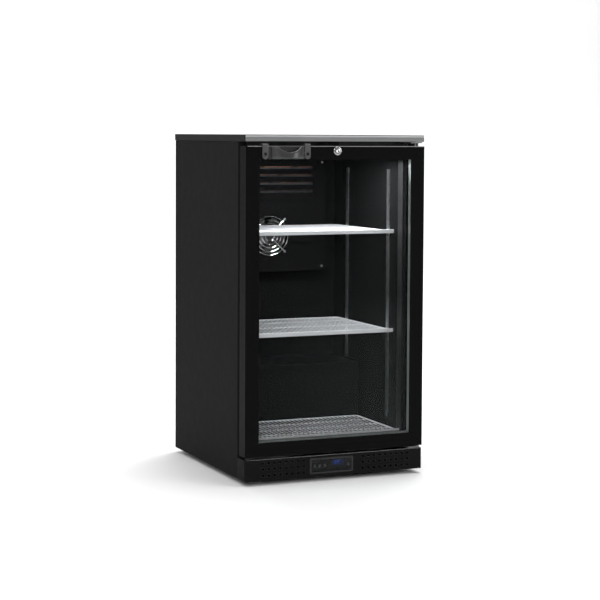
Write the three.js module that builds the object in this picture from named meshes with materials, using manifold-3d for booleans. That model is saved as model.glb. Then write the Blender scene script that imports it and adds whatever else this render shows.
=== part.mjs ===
// Undercounter refrigerator: a black back-bar bottle cooler with one glass door.
// Millimetres, +Z up, front towards -Y, origin on the floor under the middle of the whole object.
import * as THREE from 'three';
import { mergeVertices } from 'three/addons/utils/BufferGeometryUtils.js';
import Module from 'manifold-3d';

const wasm = await Module();
wasm.setup();

// ---- Driving dimensions -------------------------------------------------------------------------
const WIDTH = 500;
const BODY_DEPTH = 525; // worktop's front edge to the back
const HEIGHT = 880;
const HANDLE_REACH = 16; // how far the handle stands ahead of the worktop
const FLOOR_GAP = 12.5; // clear height under the base
const GAP = 0.3; // between pieces that touch
const SHEET = 1; // steel sheet of the casing

const FRONT = -(BODY_DEPTH + HANDLE_REACH) / 2 + HANDLE_REACH;
const BACK = FRONT + BODY_DEPTH;
const CASE_FRONT = FRONT + 52.5; // face that the door closes on

const TOP_THICK = 17;
const TOP_SHEET = 1.2;
const TOP_CORNER = 7;
const TOP_BEVEL = 1;
const TOP_UNDER = HEIGHT - TOP_THICK;
const SIDE_X = WIDTH / 2 - 1.8; // outer face of a side panel
const SIDE_RETURN = 22;
const CASE_X = SIDE_X - SHEET - GAP; // inside the side panels
const REAR_SHEET = { y0: BACK - 1.3, y1: BACK - 0.3 }; // back panel and rear grille

const INNER_X = 212.5; // half width of the cold space
const INNER_FLOOR = 92;
const INNER_ROOF = 828;
const INNER_BACK = 226;
const LINER = 2.2;
const STEP_TOP = 255; // floor of the cold space over the compressor
const STEP_FRONT = 65;
const COLLAR_DEPTH = 27.5; // black breaker frame, from the case's face to the liner

const BAY_FRONT = 95;
const BAY_TOP = 228;
const FOAM_BOTTOM = 62;

const PLINTH_TOP = 66.3;
const PLINTH_SHEET = 1.5;
const PLINTH_CORNER = 5;
const PLINTH_LID = 14; // depth of its top fold
const HOLE_W = 8;
const HOLE_H = 5.5;
const HOLE_PITCH_X = 16;
const HOLE_ROWS = [25.2, 41, 56.5];
const HOLE_GROUPS = [{ first: -203 + HOLE_W / 2, count: 8 }, { first: 74 + HOLE_W / 2, count: 9 }];

const PANEL = { x0: -71, x1: 50.5, z0: 19, z1: 60 };
const BEZEL_WIDTH = 5;
const BEZEL_DEPTH = 6;
const BOX_DEPTH = 50;
const WINDOW_THICK = 2.5;
const KEY_XS = [-57, -43, -29, 37];
const KEY_Z = 39.5;
const KEY_R = 4.2;
const KEY_CLEAR = 0.4;

const DOOR = { x0: -247.2, x1: 249.2, z0: 73, z1: 851.8, front: FRONT + 2, thick: 40 };
const STILE = 37.5;
const TOP_RAIL = 34.5;
const BOTTOM_RAIL = 35;
const LIP = 3; // frame in front of the glass
const GROOVE_BACK = 27.5; // back of the groove that the glass unit sits in
const GROOVE_INSET = 19;
const GLASS_INSET = 21;
const PANE = 4;
const SPACER_DEPTH = 15.8;
const HINGE_INSET = 12;
const HINGE = { x: DOOR.x1 - HINGE_INSET, y: DOOR.front + DOOR.thick / 2 };
const PIN_R = 4;
const BUSH_R = 6.7;
const BUSH_LENGTH = 18;
const CLOSER = { r: 2.5, top: 330 };
const BRACKET = { nose: 10, run: 36, heel: 10, ahead: 8, thick: 3 };
const UPPER_PLATE_Z = TOP_UNDER - GAP - 0.2 - BRACKET.thick;

const LOCK = { x: 1.5, z: 840, r: 8.5, flange: 11.2 };
const CAM = { front: -226.5, thick: 2, reach: 18.5, half: 5 };
const KEYWAY = { wide: 0.9, tall: 3.6, deep: 8 }; // half width, half height and depth
const KEEPER = { half: 14, ahead: 5.5, thick: 2.5 };

const CLIP_W = 16;
const CLIP_LEFT = -204;
const CLIP_RIGHT = -89.5;
const CLIP_THICK = 3.8;
const HANDLE_Z0 = 819;
const CLIP_TOP = 858.5;
const SCOOP = { x0: -179, x1: -92, dipX: -134, dipZ: 836.5, dipR: 44, wall: 2.5, top: 851.3 };

const SHELF = {
  half: 206, front: -166, back: 183, thick: 5, bar: 4, slots: 22, rail: 2, railDown: 2, railUp: 8,
};
const SHELF_ZS = { upper: 625, lower: 364 };
const FLOOR_RACK = { ...SHELF, half: 211, front: -198, back: 60 };
const FLOOR_RACK_Z = 103;
const PILASTER = {
  width: 15, thick: 2.2, front: -128.5, rear: 128, top: 790, pitch: 32, slotW: 4, slotH: 10,
};

const LAMP = { half: 175, y0: -158, y1: -136, z0: 821, lens: 4.4, inset: 3 };

const EVAP = { half: 170, front: 190, z0: 500, z1: 815, fanZ: 600, fanR: 50 };
const COND = { fanX: -142, y: 182, z: 112, fanR: 66 };

const REAR_SLOTS = { z0: 60, z1: 205, rows: 9, height: 6, runs: [[-215, -25], [25, 175]] };
const INLET = { x: 205, z: 60, r: 9, bore: 4, length: 22, nut: 13, nutFrom: 9 };

const FOOT = { x: 190, front: -165, rear: 225, r: 18, pad: 9, stem: 4.5, top: 28 };

// ---- Colours ------------------------------------------------------------------------------------
function paint(color, roughness, metalness = 0) {
  return new THREE.MeshStandardMaterial({ color, roughness, metalness });
}

const blackPaint = paint(0x1c1c1d, 0.45, 0.3);
const doorBlack = paint(0x131314, 0.35, 0.2);
const blackPlastic = paint(0x1a1a1b, 0.5);
const rubber = paint(0x0e0e0e, 0.8);
const zinc = paint(0x9a9c9e, 0.4, 0.9);
const chrome = paint(0xd9dadc, 0.12, 1);
const aluminium = paint(0xb8babc, 0.35, 0.9);
const linerGrey = paint(0x3a3b3d, 0.4, 0.5);
const shelfWhite = paint(0xe6e7e8, 0.35, 0.2);
const foamYellow = paint(0xd8cfa0, 0.95);
const lampWhite = paint(0xf4f7ff, 0.3);
const glass = new THREE.MeshStandardMaterial({
  color: 0xcfd6d8, roughness: 0.05, transparent: true, opacity: 0.25,
});
const tint = new THREE.MeshStandardMaterial({
  color: 0x3c4046, roughness: 0.1, transparent: true, opacity: 0.7,
});

// ---- Shape helpers ------------------------------------------------------------------------------
const X = new THREE.Vector3(1, 0, 0);
const Y = new THREE.Vector3(0, 1, 0);
const Z = new THREE.Vector3(0, 0, 1);

function toSolid(geometry) {
  const bare = geometry.clone();
  bare.deleteAttribute('normal');
  bare.deleteAttribute('uv');
  const merged = mergeVertices(bare, 1e-3);
  return new wasm.Manifold(new wasm.Mesh({
    numProp: 3,
    vertProperties: new Float32Array(merged.attributes.position.array),
    triVerts: new Uint32Array(merged.index.array),
  }));
}

function toGeometry(solid) {
  const mesh = solid.getMesh();
  const geometry = new THREE.BufferGeometry();
  geometry.setAttribute('position', new THREE.BufferAttribute(mesh.vertProperties, 3));
  geometry.setIndex(new THREE.BufferAttribute(mesh.triVerts, 1));
  return geometry;
}

function join(first, ...rest) {
  return toGeometry(rest.reduce((sum, g) => sum.add(toSolid(g)), toSolid(first)));
}

function cut(first, ...rest) {
  return toGeometry(rest.reduce((left, g) => left.subtract(toSolid(g)), toSolid(first)));
}

const common = (a, b) => toGeometry(toSolid(a).intersect(toSolid(b)));

// A box from its two corners.
function slab([x0, y0, z0], [x1, y1, z1]) {
  const box = new THREE.BoxGeometry(x1 - x0, y1 - y0, z1 - z0);
  return box.translate((x0 + x1) / 2, (y0 + y1) / 2, (z0 + z1) / 2);
}

const outline = (points) => new THREE.Shape(points.map(([u, v]) => new THREE.Vector2(u, v)));
const asShape = (points) => (points instanceof THREE.Shape ? points : outline(points));

function extrude(shape, depth, curveSegments) {
  return new THREE.ExtrudeGeometry(shape, { depth, bevelEnabled: false, steps: 1, curveSegments });
}

// An outline in (x, y), standing from z0 to z1.
function prismZ(points, z0, z1, curveSegments = 8) {
  return extrude(asShape(points), z1 - z0, curveSegments).translate(0, 0, z0);
}

// An outline in (y, z), running from x0 to x1.
function prismX(points, x0, x1, curveSegments = 8) {
  const turn = new THREE.Matrix4().makeBasis(Y, Z, X);
  return extrude(asShape(points), x1 - x0, curveSegments).applyMatrix4(turn).translate(x0, 0, 0);
}

// An outline in (x, z), running from y0 to y1.
function prismY(points, y0, y1, curveSegments = 8) {
  const turn = new THREE.Matrix4().makeBasis(X, Z, Y.clone().negate());
  return extrude(asShape(points), y1 - y0, curveSegments).applyMatrix4(turn).translate(0, y1, 0);
}

// A round bar along an axis, from one end to the other.
function rod(axis, radius, centre, from, to, sides = 24) {
  const bar = new THREE.CylinderGeometry(radius, radius, to - from, sides);
  const turn = new THREE.Quaternion().setFromUnitVectors(Y, axis);
  const middle = axis.clone().multiplyScalar((from + to) / 2);
  return bar.applyQuaternion(turn).translate(...centre).translate(...middle);
}

// A turned shape about Z from (radius, height) pairs that start and end on the axis.
function turned(profile, centre, sides = 24) {
  const lathe = new THREE.LatheGeometry(profile.map(([r, h]) => new THREE.Vector2(r, h)), sides);
  return lathe.rotateX(Math.PI / 2).translate(...centre);
}

function rectangle(x0, z0, x1, z1) {
  return [[x0, z0], [x1, z0], [x1, z1], [x0, z1]];
}

function roundRect(x0, y0, x1, y1, front, back = front) {
  const s = new THREE.Shape();
  s.moveTo(x0 + front, y0);
  s.lineTo(x1 - front, y0);
  s.absarc(x1 - front, y0 + front, front, -Math.PI / 2, 0);
  s.lineTo(x1, y1 - back);
  s.absarc(x1 - back, y1 - back, back, 0, Math.PI / 2);
  s.lineTo(x0 + back, y1);
  s.absarc(x0 + back, y1 - back, back, Math.PI / 2, Math.PI);
  s.lineTo(x0, y0 + front);
  s.absarc(x0 + front, y0 + front, front, Math.PI, 1.5 * Math.PI);
  return s;
}

// A plate with windows: prism is one of the three above, which sets the plane it lies in.
function pierced(prism, points, holes, from, to, curveSegments = 8) {
  const tools = holes.map((hole) => prism(hole, from - 1, to + 1, curveSegments));
  return cut(prism(points, from, to, curveSegments), ...tools);
}

function disc(u, v, r) {
  const s = new THREE.Shape();
  s.absarc(u, v, r, 0, 2 * Math.PI);
  return s;
}

const part = new THREE.Group();
part.name = 'undercounter_refrigerator';

function add(name, geometry, material) {
  const mesh = new THREE.Mesh(geometry, material);
  mesh.name = name;
  part.add(mesh);
}

// ---- Casing -------------------------------------------------------------------------------------
// Folded worktop: one skin with a skirt all round, closed below where it reaches over the door.
function worktop() {
  const half = WIDTH / 2;
  const b = TOP_BEVEL;
  const plan = roundRect(-half + b, FRONT + b, half - b, BACK - b, TOP_CORNER, 1);
  const body = new THREE.ExtrudeGeometry(plan, {
    depth: TOP_THICK - 2 * b, bevelThickness: b, bevelSize: b, bevelSegments: 2, curveSegments: 4,
  }).translate(0, 0, TOP_UNDER + b);
  const x = half - TOP_SHEET;
  const z1 = HEIGHT - TOP_SHEET;
  const hollow = join(
    slab([-x, CASE_FRONT - 1, TOP_UNDER - 1], [x, BACK - TOP_SHEET, z1]),
    slab([-x + TOP_CORNER, FRONT + TOP_SHEET, TOP_UNDER + TOP_SHEET], [x - TOP_CORNER, BACK - 9, z1]),
  );
  return cut(body, hollow);
}

// Side panel: one sheet with a return at the front and one at the back.
function sidePanel(side) {
  const y1 = BACK - 1.5;
  const section = [
    [SIDE_X, CASE_FRONT], [SIDE_X, y1], [SIDE_X - SIDE_RETURN, y1], [SIDE_X - SIDE_RETURN, y1 - SHEET],
    [SIDE_X - SHEET, y1 - SHEET], [SIDE_X - SHEET, CASE_FRONT + SHEET],
    [SIDE_X - SIDE_RETURN, CASE_FRONT + SHEET], [SIDE_X - SIDE_RETURN, CASE_FRONT],
  ];
  const placed = section.map(([x, y]) => [side * x, y]);
  return prismZ(side > 0 ? placed : placed.reverse(), FLOOR_GAP, TOP_UNDER - GAP);
}

function baseTray() {
  const z0 = FLOOR_GAP;
  const up = 14;
  const section = [
    [-CASE_X, z0], [CASE_X, z0], [CASE_X, z0 + up], [CASE_X - 1.5, z0 + up], [CASE_X - 1.5, z0 + 1.5],
    [-CASE_X + 1.5, z0 + 1.5], [-CASE_X + 1.5, z0 + up], [-CASE_X, z0 + up],
  ];
  const tray = prismY(section, CASE_FRONT + SHEET + GAP, BACK - 3);
  const holes = feetCentres().map(([x, y]) => rod(Z, FOOT.stem + 0.5, [x, y, 0], 0, z0 + 5, 16));
  return cut(tray, ...holes);
}

function feetCentres() {
  return [[-FOOT.x, FOOT.front], [FOOT.x, FOOT.front], [-FOOT.x, FOOT.rear], [FOOT.x, FOOT.rear]];
}

function foot([x, y]) {
  const profile = [
    [0, 0], [FOOT.r, 0], [FOOT.r, 3], [FOOT.r - 4, FOOT.pad - 2], [9, FOOT.pad],
    [FOOT.stem, FOOT.pad], [FOOT.stem, FOOT.top], [0, FOOT.top],
  ];
  return turned(profile, [x, y, 0], 20);
}

// Lower edge of the insulation: flat at the front, stepped up over the compressor.
const underside = [
  [CASE_FRONT + 3 + GAP, FOAM_BOTTOM],
  [BAY_FRONT, FOAM_BOTTOM],
  [BAY_FRONT, BAY_TOP],
  [BACK - 3 - GAP, BAY_TOP],
];

function foamBody() {
  const topZ = HEIGHT - TOP_SHEET - GAP;
  const profile = [...underside, [BACK - 3 - GAP, topZ], [CASE_FRONT + 3 + GAP, topZ]];
  const x = INNER_X + LINER + GAP;
  return cut(prismX(profile, -CASE_X, CASE_X), prismX(coldSpace(LINER + GAP, CASE_FRONT - 1), -x, x));
}

// Side outline of the cold space, grown by a margin, from a given front.
function coldSpace(grow, front) {
  return [
    [front, INNER_FLOOR - grow],
    [STEP_FRONT + grow, INNER_FLOOR - grow],
    [STEP_FRONT + grow, STEP_TOP - grow],
    [INNER_BACK + grow, STEP_TOP - grow],
    [INNER_BACK + grow, INNER_ROOF + grow],
    [front, INNER_ROOF + grow],
  ];
}

function liner() {
  const front = CASE_FRONT + COLLAR_DEPTH + GAP;
  const outer = prismX(coldSpace(LINER, front), -INNER_X - LINER, INNER_X + LINER);
  return cut(outer, prismX(coldSpace(0, front - 5), -INNER_X, INNER_X));
}

// Black frame round the mouth of the cold space, with a collar back to the liner.
function breakerFrame() {
  const faceX = SIDE_X - SIDE_RETURN - GAP;
  const mouth = rectangle(-INNER_X, INNER_FLOOR, INNER_X, INNER_ROOF);
  const faceOutline = rectangle(-faceX, PLINTH_TOP + 0.5, faceX, TOP_UNDER - GAP);
  const face = prismY(faceOutline, CASE_FRONT, CASE_FRONT + 3);
  const collar = prismY(
    rectangle(-INNER_X - LINER, INNER_FLOOR - LINER, INNER_X + LINER, INNER_ROOF + LINER),
    CASE_FRONT + 1, CASE_FRONT + COLLAR_DEPTH,
  );
  return cut(join(face, collar), prismY(mouth, CASE_FRONT - 5, CASE_FRONT + 50));
}

// Sheet under the insulation, bent up round the compressor bay.
function bayPanel() {
  const t = 1;
  const [a, b, c, d] = underside.map(([y, z]) => [y, z - GAP]);
  const section = [
    a, [b[0] + GAP, b[1]], [c[0] + GAP, c[1]], d,
    [d[0], d[1] - t], [c[0] + GAP + t, c[1] - t], [b[0] + GAP + t, b[1] - t], [a[0], a[1] - t],
  ];
  return prismX([...section].reverse(), -CASE_X, CASE_X);
}

function slotRows(x0, x1, z0, z1, rows, height) {
  const pitch = (z1 - z0) / (rows - 1);
  return Array.from({ length: rows }, (_, i) => {
    const z = z0 + i * pitch;
    return rectangle(x0, z - height / 2, x1, z + height / 2);
  });
}

function rearGrille() {
  const { z0, z1, rows, height, runs } = REAR_SLOTS;
  const slots = runs.flatMap(([x0, x1]) => slotRows(x0, x1, z0, z1, rows, height));
  const holes = [...slots, disc(INLET.x, INLET.z, INLET.r + GAP)];
  const sheet = rectangle(-CASE_X, FLOOR_GAP + 2, CASE_X, BAY_TOP + 3);
  return pierced(prismY, sheet, holes, REAR_SHEET.y0, REAR_SHEET.y1);
}

// A cable gland through the rear grille, with its hexagonal nut inside.
function mainsInlet() {
  const at = [INLET.x, 0, INLET.z];
  const body = rod(Y, INLET.r, at, BACK - INLET.length, BACK);
  const nut = rod(Y, INLET.nut, at, BACK - INLET.nutFrom, REAR_SHEET.y0 - GAP, 6);
  return cut(join(body, nut), rod(Y, INLET.bore, at, BACK - INLET.length + 4, BACK + 1, 16));
}

add('worktop', worktop(), blackPaint);
add('side_panel_left', sidePanel(-1), blackPaint);
add('side_panel_right', sidePanel(1), blackPaint);
add('back_panel', slab(
  [-CASE_X, REAR_SHEET.y0, BAY_TOP + 3 + GAP],
  [CASE_X, REAR_SHEET.y1, TOP_UNDER - GAP],
), zinc);
add('base_tray', baseTray(), zinc);
add('bay_panel', bayPanel(), zinc);
add('foam_body', foamBody(), foamYellow);
add('liner', liner(), linerGrey);
add('breaker_frame', breakerFrame(), blackPlastic);
add('rear_grille', rearGrille(), zinc);
add('mains_inlet', mainsInlet(), blackPlastic);
for (const [name, centre] of [
  ['foot_front_left', feetCentres()[0]], ['foot_front_right', feetCentres()[1]],
  ['foot_rear_left', feetCentres()[2]], ['foot_rear_right', feetCentres()[3]],
]) {
  add(name, foot(centre), blackPlastic);
}

// ---- Plinth and controls ------------------------------------------------------------------------
function plinth() {
  const holes = [];
  for (const { first, count } of HOLE_GROUPS) {
    for (let column = 0; column < count; column += 1) {
      for (const z of HOLE_ROWS) {
        const x = first + column * HOLE_PITCH_X;
        holes.push(rectangle(x - HOLE_W / 2, z - HOLE_H / 2, x + HOLE_W / 2, z + HOLE_H / 2));
      }
    }
  }
  holes.push(rectangle(PANEL.x0, PANEL.z0, PANEL.x1, PANEL.z1));
  const r = PLINTH_CORNER;
  const y1 = CASE_FRONT - GAP;
  const front = pierced(prismY, rectangle(-SIDE_X, FLOOR_GAP, SIDE_X, PLINTH_TOP), holes, FRONT, y1);
  const path = roundRect(-SIDE_X, FRONT, SIDE_X, y1, r, 0.5);
  const rounded = prismZ(path, FLOOR_GAP, PLINTH_TOP, 5);
  const inside = slab(
    [-SIDE_X + PLINTH_SHEET, FRONT + PLINTH_SHEET, 0],
    [SIDE_X - PLINTH_SHEET, y1 + 1, HEIGHT],
  );
  const lid = slab(
    [-SIDE_X + r, FRONT + 1, PLINTH_TOP - PLINTH_SHEET],
    [SIDE_X - r, FRONT + PLINTH_LID, PLINTH_TOP],
  );
  return join(cut(common(front, rounded), inside), lid);
}

// The controller: a bezel round the window and the box behind it that holds the electronics.
function controller() {
  const { x0, x1, z0, z1 } = PANEL;
  const b = BEZEL_WIDTH;
  const outer = roundRect(x0 + GAP, z0 + GAP, x1 - GAP, z1 - GAP, 3);
  const window = roundRect(x0 + b, z0 + b, x1 - b, z1 - b, 2);
  const frame = pierced(prismY, outer, [window], FRONT - 1, FRONT + BEZEL_DEPTH, 3);
  const inset = b - 1;
  const box = slab(
    [x0 + inset, FRONT + BEZEL_DEPTH - 0.5, z0 + inset],
    [x1 - inset, FRONT + BEZEL_DEPTH + BOX_DEPTH, z1 - inset],
  );
  return join(frame, box);
}

function controlWindow() {
  const b = BEZEL_WIDTH + GAP;
  const outer = roundRect(PANEL.x0 + b, PANEL.z0 + b, PANEL.x1 - b, PANEL.z1 - b, 2);
  const holes = KEY_XS.map((x) => disc(x, KEY_Z, KEY_R + KEY_CLEAR));
  return pierced(prismY, outer, holes, FRONT, FRONT + WINDOW_THICK, 6);
}

add('plinth_grille', plinth(), doorBlack);
add('control_bezel', controller(), blackPlastic);
add('control_window', controlWindow(), tint);
KEY_XS.forEach((x, i) => {
  const cap = rod(Y, KEY_R, [x, 0, KEY_Z], FRONT - 1.6, FRONT + 4.5, 16);
  add(`control_key_${i + 1}`, cap, blackPlastic);
});

// ---- Door ---------------------------------------------------------------------------------------
// Section of a door extrusion: distance from the door's edge against depth from the front.
function channel(width) {
  return [
    [0, 0], [width, 0], [width, LIP], [GROOVE_INSET, LIP], [GROOVE_INSET, GROOVE_BACK], [width, GROOVE_BACK],
    [width, DOOR.thick], [0, DOOR.thick],
  ];
}

// What a mitre takes off a frame member: everything past the line from the outer corner to the inner one.
function mitreWaste([ox, oz], [ix, iz], side) {
  const length = Math.hypot(ix - ox, iz - oz);
  const along = [(ix - ox) / length, (iz - oz) / length];
  const away = [-along[1] * side, along[0] * side];
  const at = (s, t) => [ox + along[0] * s + away[0] * t, oz + along[1] * s + away[1] * t];
  const reach = 80;
  return prismY([at(-reach, -GAP / 2), at(reach, -GAP / 2), at(reach, reach), at(-reach, reach)],
    DOOR.front - 1, DOOR.front + DOOR.thick + 1);
}

function doorCorners() {
  const { x0, x1, z0, z1 } = DOOR;
  return {
    bottomLeft: [[x0, z0], [x0 + STILE, z0 + BOTTOM_RAIL]],
    bottomRight: [[x1, z0], [x1 - STILE, z0 + BOTTOM_RAIL]],
    topRight: [[x1, z1], [x1 - STILE, z1 - TOP_RAIL]],
    topLeft: [[x0, z1], [x0 + STILE, z1 - TOP_RAIL]],
  };
}

// Bores for the hinge bushes and the closer's torsion bar, up the door's hinge side.
function hingeBores() {
  const at = [HINGE.x, HINGE.y, 0];
  return [
    rod(Z, BUSH_R + GAP, at, DOOR.z0 - 1, DOOR.z0 + BUSH_LENGTH + GAP, 16),
    rod(Z, BUSH_R + GAP, at, DOOR.z1 - BUSH_LENGTH - GAP, DOOR.z1 + 1, 16),
    rod(Z, CLOSER.r + GAP, at, DOOR.z0 + BUSH_LENGTH, CLOSER.top + 1, 12),
  ];
}

function stile(side) {
  const edge = side > 0 ? DOOR.x1 : DOOR.x0;
  const section = channel(STILE).map(([u, v]) => [edge - side * u, DOOR.front + v]);
  const { bottomLeft, bottomRight, topRight, topLeft } = doorCorners();
  const waste = side > 0
    ? [mitreWaste(...bottomRight, 1), mitreWaste(...topRight, -1), ...hingeBores()]
    : [mitreWaste(...bottomLeft, -1), mitreWaste(...topLeft, 1)];
  return cut(prismZ(section, DOOR.z0, DOOR.z1), ...waste);
}

function bottomRail() {
  const { bottomLeft, bottomRight } = doorCorners();
  const section = channel(BOTTOM_RAIL).map(([u, v]) => [DOOR.front + v, DOOR.z0 + u]);
  const bar = prismX(section, DOOR.x0, DOOR.x1);
  return cut(bar, mitreWaste(...bottomLeft, 1), mitreWaste(...bottomRight, -1), ...hingeBores());
}

// The top rail is bored for the lock and slotted above it, so that the cam can swing up.
function topRail() {
  const { topLeft, topRight } = doorCorners();
  const section = channel(TOP_RAIL).map(([u, v]) => [DOOR.front + v, DOOR.z1 - u]);
  const bar = prismX(section, DOOR.x0, DOOR.x1);
  const bore = rod(Y, LOCK.r + GAP, [LOCK.x, 0, LOCK.z], DOOR.front - 1, CAM.front, 20);
  const slot = slab(
    [LOCK.x - CAM.reach - 3, CAM.front - 1, LOCK.z - LOCK.r],
    [LOCK.x + LOCK.r + 1, CAM.front + CAM.thick + 1, DOOR.z1 + 1],
  );
  return cut(bar, mitreWaste(...topLeft, -1), mitreWaste(...topRight, 1), ...hingeBores(), bore, slot);
}

function pane(depth) {
  const { x0, x1, z0, z1, front } = DOOR;
  const i = GLASS_INSET;
  return slab([x0 + i, front + depth, z0 + i], [x1 - i, front + depth + PANE, z1 - i]);
}

function doorRing(outer, inner, depth, thick) {
  const hole = rectangle(inner.x0, inner.z0, inner.x1, inner.z1);
  const y0 = DOOR.front + depth;
  return pierced(prismY, rectangle(outer.x0, outer.z0, outer.x1, outer.z1), [hole], y0, y0 + thick);
}

const sight = {
  x0: DOOR.x0 + STILE, x1: DOOR.x1 - STILE, z0: DOOR.z0 + BOTTOM_RAIL, z1: DOOR.z1 - TOP_RAIL,
};
const glassEdge = {
  x0: DOOR.x0 + GLASS_INSET + 2, x1: DOOR.x1 - GLASS_INSET - 2,
  z0: DOOR.z0 + GLASS_INSET + 2, z1: DOOR.z1 - GLASS_INSET - 2,
};
const gasketOuter = { x0: DOOR.x0 + HINGE_INSET, x1: HINGE.x, z0: DOOR.z0 + 2, z1: DOOR.z1 - 2.8 };
const gasketInner = { x0: -217, x1: 219, z0: INNER_FLOOR - 1.5, z1: INNER_ROOF + 2 };

add('door_stile_left', stile(-1), doorBlack);
add('door_stile_right', stile(1), doorBlack);
add('door_rail_top', topRail(), doorBlack);
add('door_rail_bottom', bottomRail(), doorBlack);
add('pane_outer', pane(LIP + GAP), glass);
add('pane_inner', pane(GROOVE_BACK - GAP - PANE), glass);
add('spacer_bar', doorRing(glassEdge, sight, LIP + 2 * GAP + PANE, SPACER_DEPTH - GAP), aluminium);
add('door_gasket', doorRing(gasketOuter, gasketInner, DOOR.thick + GAP, 9.8), rubber);
add('closer_bar', rod(Z, CLOSER.r, [HINGE.x, HINGE.y, 0], DOOR.z0 + BUSH_LENGTH + 2, CLOSER.top, 12), zinc);

function bush(z0) {
  return cut(
    rod(Z, BUSH_R, [HINGE.x, HINGE.y, 0], z0, z0 + BUSH_LENGTH - GAP),
    rod(Z, PIN_R + 0.15, [HINGE.x, HINGE.y, 0], z0 - 1, z0 + BUSH_LENGTH + 1),
  );
}

add('hinge_bush_lower', bush(DOOR.z0 + GAP), blackPlastic);
add('hinge_bush_upper', bush(DOOR.z1 - BUSH_LENGTH), blackPlastic);

// A hinge bracket: a plate under or over the door and the pin. The lower one has a flange on the case;
// the upper one is screwed up into the worktop.
function hingeBracket(plateZ, thick, pinZ, flangeZ) {
  const y1 = CASE_FRONT - GAP;
  const { nose, run, heel } = BRACKET;
  const plate = new THREE.Shape();
  plate.moveTo(HINGE.x - run, y1);
  plate.lineTo(HINGE.x + nose, y1);
  plate.lineTo(HINGE.x + nose, HINGE.y - BRACKET.ahead);
  plate.absarc(HINGE.x, HINGE.y - BRACKET.ahead, nose, 0, -Math.PI / 2, true);
  plate.lineTo(HINGE.x - run + heel, HINGE.y - BRACKET.ahead - nose);
  plate.lineTo(HINGE.x - run, y1 - heel);
  const parts = [
    prismZ(plate, plateZ, plateZ + thick, 8),
    rod(Z, PIN_R, [HINGE.x, HINGE.y, 0], pinZ[0], pinZ[1]),
  ];
  if (flangeZ) {
    parts.push(slab([HINGE.x - run, y1 - thick, flangeZ[0]], [HINGE.x + nose, y1, flangeZ[1]]));
  }
  return join(...parts);
}

add('hinge_bracket_lower', hingeBracket(
  PLINTH_TOP + 0.7, BRACKET.thick, [PLINTH_TOP + 1, DOOR.z0 + BUSH_LENGTH - 2],
  [PLINTH_TOP + 0.7, DOOR.z0 + 1],
), zinc);
add('hinge_bracket_upper', hingeBracket(
  UPPER_PLATE_Z, BRACKET.thick, [DOOR.z1 - BUSH_LENGTH + 2, UPPER_PLATE_Z + 1],
), zinc);

// ---- Lock ---------------------------------------------------------------------------------------
function lockBarrel() {
  const flange = rod(Y, LOCK.flange, [LOCK.x, 0, LOCK.z], DOOR.front - 3.4, DOOR.front - GAP, 32);
  const body = rod(Y, LOCK.r, [LOCK.x, 0, LOCK.z], DOOR.front - 1, CAM.front - 1.2, 24);
  return cut(join(flange, body), rod(Y, 6.3, [LOCK.x, 0, LOCK.z], DOOR.front - 9, CAM.front, 24));
}

function lockPlug() {
  const plug = rod(Y, 6, [LOCK.x, 0, LOCK.z], DOOR.front - 3.9, CAM.front - GAP, 24);
  const { wide, tall, deep } = KEYWAY;
  const keyway = slab(
    [LOCK.x - wide, DOOR.front - 5, LOCK.z - tall],
    [LOCK.x + wide, DOOR.front + deep, LOCK.z + tall],
  );
  return cut(plug, keyway);
}

function lockCam() {
  const y1 = CAM.front + CAM.thick;
  const arm = slab([LOCK.x - CAM.reach, CAM.front, LOCK.z - CAM.half], [LOCK.x, y1, LOCK.z + CAM.half]);
  return join(rod(Y, 7.2, [LOCK.x, 0, LOCK.z], CAM.front, y1, 20), arm);
}

add('lock_barrel', lockBarrel(), chrome);
add('lock_plug', lockPlug(), chrome);
add('lock_cam', lockCam(), zinc);
add('lock_keeper', slab(
  [LOCK.x - KEEPER.half, CAM.front - KEEPER.ahead, DOOR.z1 + 1.4],
  [LOCK.x + KEEPER.half, CAM.front - KEEPER.ahead + KEEPER.thick, TOP_UNDER - GAP],
), blackPaint);

// ---- Handle -------------------------------------------------------------------------------------
function handleClip(x0) {
  const y0 = DOOR.front - CLIP_THICK - GAP;
  const y1 = DOOR.front - GAP;
  const hook = new THREE.Shape();
  hook.moveTo(y0, HANDLE_Z0);
  hook.lineTo(y1, HANDLE_Z0);
  hook.lineTo(y1, DOOR.z1 + GAP);
  hook.lineTo(y0 + 18, DOOR.z1 + GAP);
  hook.lineTo(y0 + 18, CLIP_TOP);
  hook.lineTo(y0 + 4, CLIP_TOP);
  hook.absarc(y0 + 4, CLIP_TOP - 4, 4, Math.PI / 2, Math.PI);
  const r = CLIP_W / 2;
  const face = new THREE.Shape();
  face.moveTo(x0, CLIP_TOP + 1);
  face.lineTo(x0, HANDLE_Z0 + r);
  face.absarc(x0 + r, HANDLE_Z0 + r, r, Math.PI, 2 * Math.PI);
  face.lineTo(x0 + CLIP_W, CLIP_TOP + 1);
  return common(prismX(hook, x0, x0 + CLIP_W, 4), prismY(face, y0 - 1, y0 + 20, 10));
}

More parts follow.
